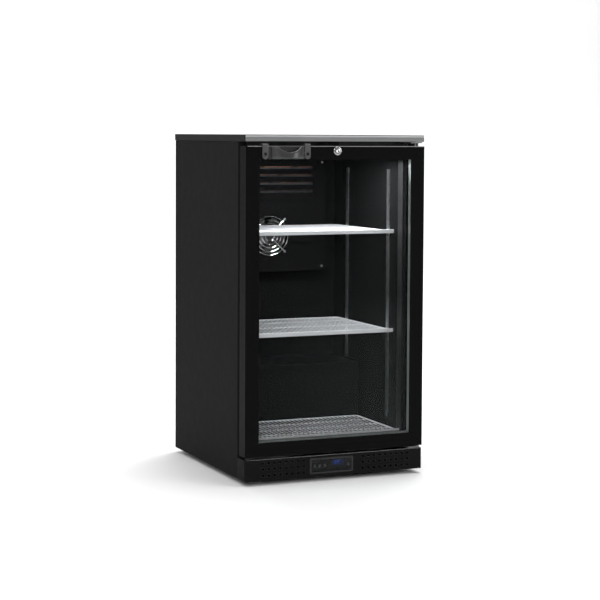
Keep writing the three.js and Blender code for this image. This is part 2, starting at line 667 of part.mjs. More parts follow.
// The grip: a back plate with a bulging pocket, open at the top, whose rim dips in the middle.
function handleScoop() {
  const yBack = DOOR.front - GAP;
  const yFace = yBack - 2;
  const out = FRONT - HANDLE_REACH;
  const half = (SCOOP.x1 - SCOOP.x0) / 2;
  const middle = (SCOOP.x0 + SCOOP.x1) / 2;
  const rise = yFace - out;
  const radius = (half * half + rise * rise) / (2 * rise);
  const bow = (r, z0, z1) => {
    const spread = Math.acos((radius - rise) / r);
    const shape = new THREE.Shape();
    shape.absarc(middle, out + radius, r, -Math.PI / 2 - spread, -Math.PI / 2 + spread);
    return prismZ(shape, z0, z1, 18);
  };
  const shell = cut(
    bow(radius, HANDLE_Z0, SCOOP.top),
    bow(radius - SCOOP.wall, HANDLE_Z0 + SCOOP.wall, SCOOP.top + 1),
    rod(Y, SCOOP.dipR, [SCOOP.dipX, 0, SCOOP.dipZ + SCOOP.dipR], out - 5, yFace, 48),
  );
  const x0 = CLIP_LEFT + CLIP_W + GAP;
  return join(shell, slab([x0, yFace - 0.2, HANDLE_Z0], [CLIP_RIGHT - GAP, yBack, SCOOP.top]));
}

add('handle_clip_left', handleClip(CLIP_LEFT), blackPlastic);
add('handle_clip_right', handleClip(CLIP_RIGHT), blackPlastic);
add('handle_scoop', handleScoop(), blackPlastic);

// ---- Cold space ---------------------------------------------------------------------------------
function pilaster(side, y0) {
  const z0 = y0 > 0 ? STEP_TOP + 8 : 130;
  const centre = y0 + PILASTER.width / 2;
  const count = Math.floor((PILASTER.top - z0 - 16) / PILASTER.pitch);
  const slots = Array.from({ length: count }, (_, i) => {
    const z = z0 + 12 + i * PILASTER.pitch;
    return rectangle(centre - PILASTER.slotW / 2, z, centre + PILASTER.slotW / 2, z + PILASTER.slotH);
  });
  const x = side > 0 ? INNER_X - GAP - PILASTER.thick : -INNER_X + GAP;
  return pierced(prismX, rectangle(y0, z0, y0 + PILASTER.width, PILASTER.top), slots, x, x + PILASTER.thick);
}

// A shelf as a grid: front and back rails, a middle rail and bars between them.
function shelf(z, { half, front, back, thick, bar, slots, rail, railDown, railUp } = SHELF) {
  const pitch = (2 * half - bar) / slots;
  const middle = (front + back) / 2;
  const windows = [];
  for (let i = 0; i < slots; i += 1) {
    const x = -half + bar + i * pitch;
    windows.push(slab([x, front + 8, z - 1], [x + pitch - bar, middle - 3, z + thick + 1]));
    windows.push(slab([x, middle + 3, z - 1], [x + pitch - bar, back - 6, z + thick + 1]));
  }
  const grid = cut(slab([-half, front, z], [half, back, z + thick]), ...windows);
  return join(grid, slab([-half, front, z - railDown], [half, front + rail, z + railUp]));
}

// A shelf that stands on short legs on the cold space's floor.
function floorRack() {
  const { half, front, back } = FLOOR_RACK;
  const z0 = INNER_FLOOR + GAP;
  const legs = [-1, 1].flatMap((side) => [front + 30, back - 6].map((y) => {
    const x = side * (half - 3);
    return slab([x - 2.5, y, z0], [x + 2.5, y + 5, FLOOR_RACK_Z + 1]);
  }));
  return join(shelf(FLOOR_RACK_Z, FLOOR_RACK), ...legs);
}

add('pilaster_front_left', pilaster(-1, PILASTER.front), aluminium);
add('pilaster_front_right', pilaster(1, PILASTER.front), aluminium);
add('pilaster_rear_left', pilaster(-1, PILASTER.rear), aluminium);
add('pilaster_rear_right', pilaster(1, PILASTER.rear), aluminium);
add('shelf_upper', shelf(SHELF_ZS.upper), shelfWhite);
add('shelf_lower', shelf(SHELF_ZS.lower), shelfWhite);
add('floor_rack', floorRack(), shelfWhite);

const lampCase = slab([-LAMP.half, LAMP.y0, LAMP.z0], [LAMP.half, LAMP.y1, INNER_ROOF - GAP]);
const lampLens = slab(
  [-LAMP.half + LAMP.inset, LAMP.y0 + LAMP.inset, LAMP.z0 - GAP - LAMP.lens],
  [LAMP.half - LAMP.inset, LAMP.y1 - LAMP.inset, LAMP.z0 - GAP],
);
add('lamp_housing', lampCase, blackPlastic);
add('lamp_diffuser', lampLens, lampWhite);

// ---- Cooling at the back of the cold space ------------------------------------------------------
function fanCover() {
  const t = 1.5;
  const y1 = INNER_BACK - GAP;
  const shell = cut(
    slab([-EVAP.half, EVAP.front, EVAP.z0], [EVAP.half, y1, EVAP.z1]),
    slab([-EVAP.half + t, EVAP.front + t, EVAP.z0 + t], [EVAP.half - t, y1 + 1, EVAP.z1 - t]),
    rod(Y, EVAP.fanR + 4, [0, 0, EVAP.fanZ], EVAP.front - 5, EVAP.front + 5, 28),
  );
  const vents = slotRows(-130, 130, 722, 788, 4, 7).map((v) => prismY(v, EVAP.front - 5, EVAP.front + 5));
  return cut(shell, ...vents);
}

// Blades on a hub, about an axis; the tips are trimmed to the fan's radius.
function fan(axis, centre, radius, depth, blades) {
  const hub = rod(axis, radius * 0.3, centre, 0, depth, 20);
  const root = new THREE.Vector3(...centre);
  const pieces = Array.from({ length: blades }, (_, i) => {
    const blade = new THREE.BoxGeometry(radius * 0.85, radius * 0.62, 1.6);
    blade.rotateX(0.38).translate(radius * 0.56, 0, depth / 2);
    blade.rotateZ((i * 2 * Math.PI) / blades);
    blade.applyQuaternion(new THREE.Quaternion().setFromUnitVectors(Z, axis));
    return blade.translate(root.x, root.y, root.z);
  });
  return common(join(hub, ...pieces), rod(axis, radius, centre, 0, depth, 32));
}

function motor(axis, centre, radius, length, footing) {
  return join(rod(axis, radius, centre, 0, length, 20), footing);
}

add('fan_cover', fanCover(), linerGrey);
add('evaporator_coil', finBlock([-150, EVAP.front + 5, 695], [150, EVAP.front + 30, 803], 26, 0), aluminium);
add('evaporator_fan', fan(Y, [0, EVAP.front + 3, EVAP.fanZ], EVAP.fanR, 12, 5), blackPlastic);
add('evaporator_motor', motor(Y, [0, EVAP.front + 15.5, EVAP.fanZ], 20, 18,
  slab([-60, EVAP.front + 31, EVAP.fanZ - 8], [60, EVAP.front + 33.5, EVAP.fanZ + 8])), zinc);

// A finned coil as one block with grooves cut from both faces between the fins.
function finBlock(low, high, fins, along) {
  const pitch = (high[along] - low[along]) / fins;
  const grooves = Array.from({ length: fins }, (_, i) => {
    const a = [low[0] - 1, low[1] - 1, low[2] - 1];
    const b = [high[0] + 1, high[1] + 1, high[2] + 1];
    a[along] = low[along] + (i + 0.3) * pitch;
    b[along] = low[along] + (i + 0.9) * pitch;
    const depth = along === 0 ? 1 : 0;
    b[depth] = low[depth] + (high[depth] - low[depth]) * 0.62;
    return slab(a, b);
  });
  return cut(slab(low, high), ...grooves);
}

// ---- Refrigeration machinery under the step -----------------------------------------------------
function compressor() {
  const r = 56;
  const profile = [[0, 30], [r * 0.6, 32], [r * 0.92, 42], [r, 58], [r, 96], [r + 3, 98], [r + 3, 104],
    [r, 106], [r, 150], [r * 0.9, 166], [r * 0.6, 178], [0, 182]];
  const centre = [112, COND.y, 0];
  const base = slab([40, COND.y - 62, FLOOR_GAP + 1.5 + GAP], [184, COND.y + 62, 34]);
  const relief = slab([30, COND.y - 50, 0], [194, COND.y + 50, 31]);
  const terminal = slab([112 + r - 8, COND.y - 20, 110], [112 + r + 16, COND.y + 20, 150]);
  return join(turned(profile, centre, 20), cut(base, relief), terminal);
}

function condensateTray() {
  const low = [-62, COND.y - 60, FLOOR_GAP + 1.5 + GAP];
  const high = [26, COND.y + 60, 44];
  const t = 2;
  const hollow = slab([low[0] + t, low[1] + t, low[2] + t], [high[0] - t, high[1] - t, high[2] + 1]);
  return cut(slab(low, high), hollow);
}

add('compressor', compressor(), blackPaint);
add('condensate_tray', condensateTray(), blackPlastic);
add('condenser_coil', finBlock([-212, COND.y - 74, 30], [-160, COND.y + 74, 190], 24, 1), aluminium);
add('condenser_fan', fan(X, [COND.fanX, COND.y, COND.z], COND.fanR, 16, 5), zinc);
add('condenser_motor', motor(X, [COND.fanX + 16 + GAP, COND.y, COND.z], 24, 34, join(
  slab([COND.fanX + 28, COND.y - 10, FLOOR_GAP + 1.5 + GAP], [COND.fanX + 31, COND.y + 10, COND.z]),
  slab([COND.fanX + 18, COND.y - 22, FLOOR_GAP + 1.5 + GAP], [COND.fanX + 42, COND.y + 22, FLOOR_GAP + 5]),
)), blackPaint);

export default part;
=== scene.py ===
"""Looks of an undercounter refrigerator with a glass door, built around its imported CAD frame."""

import math

import bmesh
import bpy
from mathutils import Matrix, Vector
from mathutils.geometry import tessellate_polygon


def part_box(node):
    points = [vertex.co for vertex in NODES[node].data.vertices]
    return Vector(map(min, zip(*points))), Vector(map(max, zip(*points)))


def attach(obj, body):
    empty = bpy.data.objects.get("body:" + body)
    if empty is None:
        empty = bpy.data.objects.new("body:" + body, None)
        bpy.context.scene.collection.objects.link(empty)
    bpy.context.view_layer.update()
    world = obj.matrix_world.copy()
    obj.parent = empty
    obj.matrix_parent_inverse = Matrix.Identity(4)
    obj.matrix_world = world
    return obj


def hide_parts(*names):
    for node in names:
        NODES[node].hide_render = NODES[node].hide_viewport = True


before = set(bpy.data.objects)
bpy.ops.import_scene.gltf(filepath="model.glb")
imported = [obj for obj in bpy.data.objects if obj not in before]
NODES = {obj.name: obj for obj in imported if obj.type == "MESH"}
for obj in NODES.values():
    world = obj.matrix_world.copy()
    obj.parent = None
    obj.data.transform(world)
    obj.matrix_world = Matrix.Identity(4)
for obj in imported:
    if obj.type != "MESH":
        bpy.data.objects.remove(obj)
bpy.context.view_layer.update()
X_AXIS, Y_AXIS, Z_AXIS = Vector((1, 0, 0)), Vector((0, 1, 0)), Vector((0, 0, 1))

CASE, DOOR, LOCK = "cabinet", "door", "lock"

# Driving dimensions: metres and degrees, but the lens in millimetres.
LENS, LENS_SHIFT, CAMERA_REACH = 103.2, -0.11, 60
CAMERA_YAW, CAMERA_PITCH, CAMERA_ROLL = 23.44, 3.38, 0.3
CAMERA_X, CAMERA_AHEAD, CAMERA_RISE = -1.816, 3.955, 0.006
PLINTH_SHEET, PLINTH_CORNER = 0.0015, 0.005
HOLE_COLUMNS = [-0.199 + i * 0.016 for i in range(8)] + [0.078 + i * 0.016 for i in range(9)]
HOLE_ROWS = (0.0252, 0.041, 0.0565)
HOLE_HALF_WIDTH, HOLE_HALF_HEIGHT, HOLE_CORNER = 0.0048, 0.0036, 0.0018
DISPLAY_X, DISPLAY_Z, DIGIT_WIDTH, DIGIT_HEIGHT = 0.008, 0.0455, 0.0042, 0.0082
SCOOP_X0, SCOOP_X1, SCOOP_WALL, SCOOP_FLOOR = -0.179, -0.092, 0.0025, 0.0025
DIP_X, DIP_Z, DIP_RADIUS = -0.134, 0.8365, 0.044
WIRE, STAY, ROD, SHELF_RAIL = 0.0014, 0.002, 0.0024, 0.01
COMPRESSOR_X, COMPRESSOR_RADIUS, COMPRESSOR_SEAM, MOUNT_REACH = 0.112, 0.056, 0.101, 0.052
DRIER_X, DRIER_Z = -0.04, 0.15


# ---- Camera -------------------------------------------------------------------------------------
def make_camera():
    """A long lens from the front left, a little above the worktop, looking slightly down."""
    low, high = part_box("worktop")
    data = bpy.data.cameras.new("camera")
    data.lens = LENS
    data.shift_y = LENS_SHIFT
    data.clip_end = CAMERA_REACH
    camera = bpy.data.objects.new("camera", data)
    bpy.context.scene.collection.objects.link(camera)
    yaw, pitch, roll = (math.radians(turn) for turn in (CAMERA_YAW, CAMERA_PITCH, CAMERA_ROLL))
    flat = math.cos(pitch)
    forward = Vector((math.sin(yaw) * flat, math.cos(yaw) * flat, -math.sin(pitch)))
    level = Vector((math.cos(yaw), -math.sin(yaw), 0))
    up = level.cross(forward)
    right = level * math.cos(roll) + up * math.sin(roll)
    up = right.cross(forward)
    turn = Matrix((right, up, -forward)).transposed().to_4x4()
    place = Vector((CAMERA_X, low.y - CAMERA_AHEAD, high.z + CAMERA_RISE))
    camera.matrix_world = Matrix.Translation(place) @ turn
    bpy.context.scene.camera = camera


make_camera()


# ---- Materials ----------------------------------------------------------------------------------
class Paint:
    """A Principled material whose colour, roughness and bump come from procedural patterns."""

    def __init__(self, name, colour, rough, metal=0.0, specular=0.5, coat=0.0, coat_rough=0.1):
        self.material = bpy.data.materials.new(name)
        self.material.use_nodes = True
        self.tree = self.material.node_tree
        self.shader = self.tree.nodes["Principled BSDF"]
        self.colour = colour
        self.rough = rough
        self.set("Metallic", metal)
        self.set("Specular IOR Level", specular)
        self.set("Coat Weight", coat)
        self.set("Coat Roughness", coat_rough)
        self.coords = self.tree.nodes.new("ShaderNodeTexCoord").outputs["Object"]
        self.normal = None

    def set(self, socket, value):
        """Sets a constant on a socket of the shader."""
        self.shader.inputs[socket].default_value = value

    def link(self, source, target):
        """Joins two sockets."""
        self.tree.links.new(source, target)

    def place(self, stretch):
        """The object's coordinates, stretched."""
        mapping = self.tree.nodes.new("ShaderNodeMapping")
        mapping.inputs["Scale"].default_value = stretch
        self.link(self.coords, mapping.inputs["Vector"])
        return mapping.outputs["Vector"]

    def noise(self, scale, detail=4.0, roughness=0.55, stretch=(1, 1, 1)):
        """Cloudy noise, mostly between 0.3 and 0.7."""
        node = self.tree.nodes.new("ShaderNodeTexNoise")
        node.inputs["Scale"].default_value = scale
        node.inputs["Detail"].default_value = detail
        node.inputs["Roughness"].default_value = roughness
        self.link(self.place(stretch), node.inputs["Vector"])
        return node.outputs["Fac"]

    def cells(self, scale, feature="F1", stretch=(1, 1, 1), output="Distance"):
        """A Voronoi pattern."""
        node = self.tree.nodes.new("ShaderNodeTexVoronoi")
        node.feature = feature
        node.inputs["Scale"].default_value = scale
        self.link(self.place(stretch), node.inputs["Vector"])
        return node.outputs[output]

    def spread(self, value, low, high, start=0.3, end=0.7):
        """value, between start and end, mapped to low and high."""
        node = self.tree.nodes.new("ShaderNodeMapRange")
        for socket, number in (("From Min", start), ("From Max", end), ("To Min", low), ("To Max", high)):
            node.inputs[socket].default_value = number
        self.link(value, node.inputs["Value"])
        return node.outputs["Result"]

    def mix(self, factor, a, b):
        """Blends two colours, each a tuple or a socket."""
        node = self.tree.nodes.new("ShaderNodeMix")
        node.data_type = "RGBA"
        self.link(factor, node.inputs["Factor"])
        for socket, value in ((node.inputs[6], a), (node.inputs[7], b)):
            if isinstance(value, tuple):
                socket.default_value = (*value, 1)
            else:
                self.link(value, socket)
        return node.outputs[2]

    def bump(self, height, strength, distance):
        """Adds a bump on top of any earlier one."""
        node = self.tree.nodes.new("ShaderNodeBump")
        node.inputs["Strength"].default_value = strength
        node.inputs["Distance"].default_value = distance
        self.link(height, node.inputs["Height"])
        if self.normal:
            self.link(self.normal, node.inputs["Normal"])
        self.normal = node.outputs["Normal"]

    def mottle(self, scale, amount, stretch=(1, 1, 1)):
        """Lighter and darker patches in the base colour."""
        dark = tuple(c * (1 - amount) for c in self.colour)
        light = tuple(min(1, c * (1 + amount)) for c in self.colour)
        return self.mix(self.spread(self.noise(scale, stretch=stretch), 0, 1), dark, light)

    def edges(self, colour, worn_and_lit, low=0.515, high=0.56):
        """Edges lighter in another colour: partly rubbed wear, partly a painted highlight where light catches
        them.
        """
        pointiness = self.tree.nodes.new("ShaderNodeNewGeometry").outputs["Pointiness"]
        return self.mix(self.spread(pointiness, 0, 1, low, high), colour, worn_and_lit)

    def done(self, colour, rough_scale=40.0, rough_spread=0.06):
        """Joins colour, uneven roughness and bumps to the shader."""
        self.link(colour, self.shader.inputs["Base Color"])
        low, high = max(0.02, self.rough - rough_spread), min(1, self.rough + rough_spread)
        self.link(self.spread(self.noise(rough_scale), low, high), self.shader.inputs["Roughness"])
        if self.normal:
            self.link(self.normal, self.shader.inputs["Normal"])
        return self.material


def grey(level):
    """A grey with a trace of blue."""
    return (level, level, level * 1.02)


def powder_coat(name, level, rough, specular=0.5, grain=0.06):
    """Baked paint on sheet: a fine orange peel over very faint blotches."""
    p = Paint(name, grey(level), rough, specular=specular)
    p.bump(p.noise(900, 3), grain, 0.0001)
    # Lighter edges: partly wear, partly painted highlight.
    colour = p.edges(p.mottle(5, 0.06), grey(level * 1.9))
    return p.done(colour)


def extrusion_black(name, level, rough):
    """Satin extrusion with faint draw lines along the height and the width."""
    p = Paint(name, grey(level), rough, specular=0.012)
    p.bump(p.noise(260, 2, stretch=(1, 1, 0.02)), 0.05, 0.0002)
    p.bump(p.noise(1500, 2), 0.08, 0.0001)
    # Lighter edges: partly wear, partly painted highlight.
    return p.done(p.edges(p.mottle(9, 0.15), grey(level * 2.4)))


def moulded(name, level, rough, grain=0.35):
    """Injection-moulded plastic with a spark-eroded grain."""
    p = Paint(name, grey(level), rough, specular=0.45)
    p.bump(p.cells(1400), grain, 0.00015)
    p.bump(p.noise(60, 2), 0.06, 0.0005)
    # Lighter edges: partly wear, partly painted highlight.
    return p.done(p.edges(p.mottle(25, 0.15), grey(level * 1.8)))


def soft_rubber(name, level):
    """Matt rubber."""
    p = Paint(name, grey(level), 0.7, specular=0.3)
    p.bump(p.noise(500, 4), 0.25, 0.0002)
    return p.done(p.mottle(30, 0.25), rough_spread=0.12)


def spangled_zinc(name, level):
    """Galvanised sheet: crystal flakes of differing grey."""
    p = Paint(name, grey(level), 0.42, metal=0.85)
    shade = p.spread(p.cells(110, output="Color"), 0, 1, 0.1, 0.9)
    flakes = p.mix(shade, grey(level * 0.86), grey(level * 1.12))
    p.bump(p.noise(700, 3), 0.06, 0.0001)
    return p.done(flakes, rough_scale=90, rough_spread=0.12)


def brushed(name, colour, rough, stretch=(0.02, 1, 1), metal=1.0):
    """Metal with fine lines along one axis."""
    p = Paint(name, colour, rough, metal=metal)
    p.bump(p.noise(900, 3, stretch=stretch), 0.18, 0.0001)
    return p.done(p.mottle(300, 0.1, stretch), rough_scale=300, rough_spread=0.08)


def bright_plate(name, level, rough):
    """Plated metal with faint waves."""
    p = Paint(name, grey(level), rough, metal=1.0)
    p.bump(p.noise(35, 2), 0.03, 0.0004)
    return p.done(p.mottle(60, 0.05), rough_spread=0.04)


def stucco(name, level):
    """Embossed aluminium sheet, as coolers are lined with."""
    p = Paint(name, grey(level), 0.38, specular=0.012)
    p.bump(p.cells(210, "SMOOTH_F1"), 0.55, 0.0006)
    p.bump(p.noise(900, 2), 0.08, 0.0001)
    return p.done(p.mottle(12, 0.12), rough_scale=60, rough_spread=0.08)


def coated_wire(name, level):
    """Wire dipped in plastic."""
    p = Paint(name, grey(level), 0.32, specular=0.5, coat=0.3, coat_rough=0.15)
    p.bump(p.noise(250, 2), 0.1, 0.0003)
    return p.done(p.mottle(20, 0.05))


def rigid_foam(name):
    """Poured insulation foam."""
    p = Paint(name, (0.72, 0.62, 0.36), 0.9, specular=0.2)
    p.bump(p.cells(350), 0.5, 0.0006)
    return p.done(p.mottle(40, 0.12))


def filter_mat(name):
    """Black open-cell dust filter, so near black that it also paints the shade seen through the plinth holes.
    """
    p = Paint(name, (0.0012, 0.0012, 0.0012), 0.95, specular=0.02)
    p.bump(p.cells(900), 0.9, 0.0008)
    return p.done(p.mottle(700, 0.5))


def copper_tube(name):
    """Copper with darker stains."""
    p = Paint(name, (0.72, 0.36, 0.2), 0.3, metal=1.0)
    p.bump(p.noise(300, 2), 0.08, 0.0002)
    return p.done(p.mottle(45, 0.25), rough_spread=0.12)


def clear_glass(name):
    """Clear pane: a thin mirror coat whose strength follows the Fresnel law, with a trace of green."""
    p = Paint(name, (0.8, 0.9, 0.88), 0.02, metal=1.0)
    fresnel = p.tree.nodes.new("ShaderNodeFresnel")
    fresnel.inputs["IOR"].default_value = 1.45
    p.link(p.spread(fresnel.outputs["Fac"], 0, 1, 0.034, 1), p.shader.inputs["Alpha"])
    return p.done(p.mottle(3, 0.03), rough_spread=0.01)


def smoked_acrylic(name):
    """Smoked clear plastic, see-through enough for lit digits behind it."""
    p = Paint(name, (0.012, 0.0125, 0.013), 0.1, specular=0.15)
    p.set("Alpha", 0.7)
    p.bump(p.noise(20, 2), 0.02, 0.0005)
    return p.done(p.mottle(30, 0.1), rough_spread=0.03)


def glowing(name, colour, strength):
    """A lit lamp or display segment, a little uneven over its surface."""
    p = Paint(name, colour, 0.4)
    p.set("Emission Strength", strength)
    p.link(p.mottle(60, 0.1), p.shader.inputs["Emission Color"])
    return p.done(p.mottle(60, 0.05))


CASING_BLACK = powder_coat("casing_black", 0.009, 0.55, specular=0.006)
WORKTOP_BLACK = powder_coat("worktop_black", 0.016, 0.5, specular=0.02)
PLINTH_BLACK = powder_coat("plinth_black", 0.0045, 0.42, specular=0.02)
DOOR_BLACK = extrusion_black("door_black", 0.0022, 0.33)
# The worktop's grey front edge is partly trim colour, partly painted reflection; the lighter lip above it is
# a painted highlight.
TRIM_AND_REFLECTION_GREY = brushed("worktop_trim_reflection_grey", (0.175, 0.178, 0.18), 0.45, metal=0.15)
LIP_HIGHLIGHT_GREY = brushed("worktop_lip_highlight_grey", (0.4, 0.405, 0.41), 0.4, metal=0.15)
MOULDED_BLACK = moulded("moulded_black", 0.012, 0.42)
HANDLE_BLACK = moulded("handle_black", 0.034, 0.22, grain=0.06)
CLIP_BLACK = moulded("clip_black", 0.06, 0.24, grain=0.06)
# Near black for painted shade in the handle's recess and screw cups.
RECESS_SHADE_BLACK = moulded("recess_shade_black", 0.006, 0.45)
# A light grey for a painted highlight on the grip's crest.
CREST_HIGHLIGHT_GREY = moulded("crest_highlight_grey", 0.16, 0.25, grain=0.05)
SCREW_BLACK = bright_plate("screw_black", 0.012, 0.35)
RUBBER = soft_rubber("gasket_rubber", 0.012)
ZINC = spangled_zinc("zinc_plate", 0.26)
HINGE_GREY = brushed("hinge_grey", (0.2, 0.2, 0.205), 0.45, metal=0.2)
CHROME = bright_plate("chrome", 0.82, 0.1)
LOCK_CHROME = bright_plate("lock_chrome", 0.42, 0.16)
ALUMINIUM = brushed("aluminium", (0.74, 0.75, 0.76), 0.32, stretch=(1, 1, 0.02))
SPACER_METAL = brushed("spacer_aluminium", (0.5, 0.505, 0.51), 0.38, stretch=(1, 1, 0.02), metal=0.7)
FIN_METAL = brushed("fin_aluminium", (0.66, 0.68, 0.69), 0.4, stretch=(1, 0.05, 1))
# A lighter grey for a painted highlight along the door's top front edge.
DOOR_TOP_HIGHLIGHT_GREY = brushed("door_top_highlight_grey", (0.3, 0.3, 0.31), 0.4, metal=0.3)
# Lighter grey for painted highlights on the lower lips of the plinth holes.
SILL_HIGHLIGHT_GREY = moulded("sill_highlight_grey", 0.1, 0.3, grain=0.1)
# Lighter grey for a painted highlight along the plinth's top edge.
EDGE_HIGHLIGHT_GREY = moulded("edge_highlight_grey", 0.26, 0.35, grain=0.1)
RIM_BLACK = moulded("rim_black", 0.009, 0.3, grain=0.1)
FILTER_SHADE_BLACK = filter_mat("filter_shade_black")
# Near black: painted shade for the dim inside of the cabinet, on the aluminium liner and the fan cover.
LINER_PAINTED_SHADE = stucco("liner", 0.006)
SHELF_WHITE = coated_wire("shelf_white", 0.82)
FOAM = rigid_foam("foam")
COPPER = copper_tube("copper")
GLASS = clear_glass("door_glass")
SMOKED = smoked_acrylic("tinted_window")
LAMP = glowing("lamp", (0.92, 0.97, 1.0), 4.0)
DIGIT_BLUE = glowing("digit_blue", (0.1, 0.22, 1.0), 5.0)
HALO_BLUE = glowing("halo_blue", (0.1, 0.2, 1.0), 0.14)
BEZEL_BLACK = moulded("bezel_black", 0.006, 0.34, grain=0.12)
BOARD_BLACK = moulded("board_black", 0.006, 0.5)
KEY_BLACK = moulded("key_plastic", 0.014, 0.3, grain=0.1)
COMPRESSOR_BLACK = powder_coat("compressor_black", 0.012, 0.28)


# ---- Mesh helpers -------------------------------------------------------------------------------
def soften(bm, angle=38):
    """Smooth faces, kept sharp where two meet at more than an angle."""
    limit = math.radians(angle)
    for face in bm.faces:
        face.smooth = True
    for edge in bm.edges:
        edge.smooth = edge.is_manifold and edge.calc_face_angle(0) < limit


def flatten(obj):
    """Large flat faces keep their own normals beside small rounded ones."""
    modifier = obj.modifiers.new("flatten", "WEIGHTED_NORMAL")
    modifier.keep_sharp = True
    modifier.weight = 80


def piece(name, bm, material, body, replaces=(), angle=38):
    """A finished mesh as an object that rides on a body."""
    bmesh.ops.recalc_face_normals(bm, faces=bm.faces)
    soften(bm, angle)
    mesh = bpy.data.meshes.new(name)
    bm.to_mesh(mesh)
    bm.free()
    obj = bpy.data.objects.new(name, mesh)
    bpy.context.scene.collection.objects.link(obj)
    mesh.materials.append(material)
    flatten(obj)
    if replaces:
        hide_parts(*replaces)
    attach(obj, body)
    return obj


def rounded(node, width, material, body=CASE, segments=3, only=None, angle=30):
    """The CAD node again with its edges rounded. only picks the edges to round."""
    bm = bmesh.new()
    bm.from_mesh(NODES[node].data)
    bmesh.ops.remove_doubles(bm, verts=bm.verts, dist=1e-6)
    bmesh.ops.dissolve_limit(bm, angle_limit=math.radians(1), verts=bm.verts, edges=bm.edges)
    limit = math.radians(angle)
    sharp = [e for e in bm.edges if e.is_manifold and e.calc_face_angle(0) > limit]
    chosen = [e for e in sharp if only is None or only(e)]
    bmesh.ops.bevel(
        bm, geom=chosen, offset=width, offset_type="OFFSET", segments=segments, profile=0.5,
        affect="EDGES", clamp_overlap=True,
    )
    return piece(node + "_shell", bm, material, body, (node,))


def bevelled_box(bm, low, high, width, segments=3):
    """A box with rounded edges, added to bm."""
    made = bmesh.ops.create_cube(bm, size=1)["verts"]
    low, high = Vector(low), Vector(high)
    for v in made:
        v.co = Vector(low[i] + (v.co[i] + 0.5) * (high[i] - low[i]) for i in range(3))
    edges = list({e for v in made for e in v.link_edges})
    bmesh.ops.bevel(
        bm, geom=edges, offset=width, offset_type="OFFSET", segments=segments, profile=0.5, affect="EDGES",
        clamp_overlap=True,
    )


def turned(name, centre, axis, profile, sides, material, body, replaces=()):
    """A piece that is one turned profile."""
    bm = bmesh.new()
    lathe(bm, centre, axis, profile, sides)
    return piece(name, bm, material, body, replaces)


def boxes(name, blocks, material, body, replaces=()):
    """A piece made of boxes with rounded edges, each (low, high, edge width, segments)."""
    bm = bmesh.new()
    for block in blocks:
        bevelled_box(bm, *block)
    return piece(name, bm, material, body, replaces)


def arc(cx, cy, r, start, end, steps=6):
    """Points on an arc, in degrees."""
    turn = [math.radians(start + (end - start) * i / steps) for i in range(steps + 1)]
    return [(cx + r * math.cos(a), cy + r * math.sin(a)) for a in turn]


def bridge(bm, rows, closed_ring=True, closed_rows=False):
    """Quads between neighbouring rows of vertices."""
    pairs = list(zip(rows, rows[1:]))
    if closed_rows:
        pairs.append((rows[-1], rows[0]))
    for a, b in pairs:
        n = len(a)
        for i in range(n if closed_ring else n - 1):
            j = (i + 1) % n
            bm.faces.new((a[i], a[j], b[j], b[i]))


def loft(bm, rows):
    """Rings of vertices joined into a solid with flat ends."""
    bridge(bm, rows)
    bm.faces.new(list(reversed(rows[0])))
    bm.faces.new(rows[-1])


def basis(axis):
    """Two unit vectors at right angles to an axis and to each other."""
    axis = Vector(axis).normalized()
    side = axis.cross(Z_AXIS if abs(axis.z) < 0.9 else X_AXIS).normalized()
    return side, axis.cross(side)


def lathe(bm, centre, axis, profile, sides=48):
    """A profile of (radius, distance along the axis) turned about the axis; radius 0 closes it."""
    axis = Vector(axis).normalized()
    u, v = basis(axis)
    rows = []
    for radius, along in profile:
        at = Vector(centre) + axis * along
        if radius < 1e-9:
            rows.append([bm.verts.new(at)])
            continue
        turns = (2 * math.pi * i / sides for i in range(sides))
        rows.append([bm.verts.new(at + (u * math.cos(t) + v * math.sin(t)) * radius) for t in turns])
    for a, b in zip(rows, rows[1:]):
        for i in range(sides):
            j = (i + 1) % sides
            if len(a) == 1 and len(b) == 1:
                break
            if len(a) == 1:
                bm.faces.new((a[0], b[j], b[i]))
            elif len(b) == 1:
                bm.faces.new((a[i], a[j], b[0]))
            else:
                bm.faces.new((a[i], a[j], b[j], b[i]))
    return rows


def tube(bm, points, radius, sides=10, closed=False):
    """A round wire along points, with flat ends, added to bm."""
    points = [Vector(p) for p in points]
    count = len(points)
    rows = []
    side = None
    for i, p in enumerate(points):
        ahead = points[(i + 1) % count] if closed or i < count - 1 else p
        behind = points[i - 1] if closed or i > 0 else p
        run = (ahead - behind).normalized()
        if side is None:
            side, _ = basis(run)
        side = (side - run * side.dot(run)).normalized()
        up = run.cross(side)
        turns = (2 * math.pi * k / sides for k in range(sides))
        rows.append([bm.verts.new(p + (side * math.cos(t) + up * math.sin(t)) * radius) for t in turns])
    if closed:
        bridge(bm, rows, closed_rows=True)
    else:
        loft(bm, rows)


def prism(bm, outline, place, start, end):
    """A solid between two copies of an outline; place turns (u, v, w) into a point."""
    loft(bm, [[bm.verts.new(place(u, v, w)) for u, v in outline] for w in (start, end)])


def along_x(u, v, w):
    """Places a prism's outline in the YZ plane."""
    return Vector((w, u, v))


def along_y(u, v, w):
    """Places a prism's outline in the XZ plane."""
    return Vector((u, w, v))


def ring(bm, rect, section, y0):
    """A closed section of (inset, depth) points swept round an upright rectangle, mitred at its corners."""
    x0, x1, z0, z1 = rect
    rows = []
    for inset, depth in section:
        left, right, bottom, top = x0 + inset, x1 - inset, z0 + inset, z1 - inset
        corners = ((left, bottom), (right, bottom), (right, top), (left, top))
        rows.append([bm.verts.new((x, y0 + depth, z)) for x, z in corners])
    bridge(bm, rows, closed_rows=True)


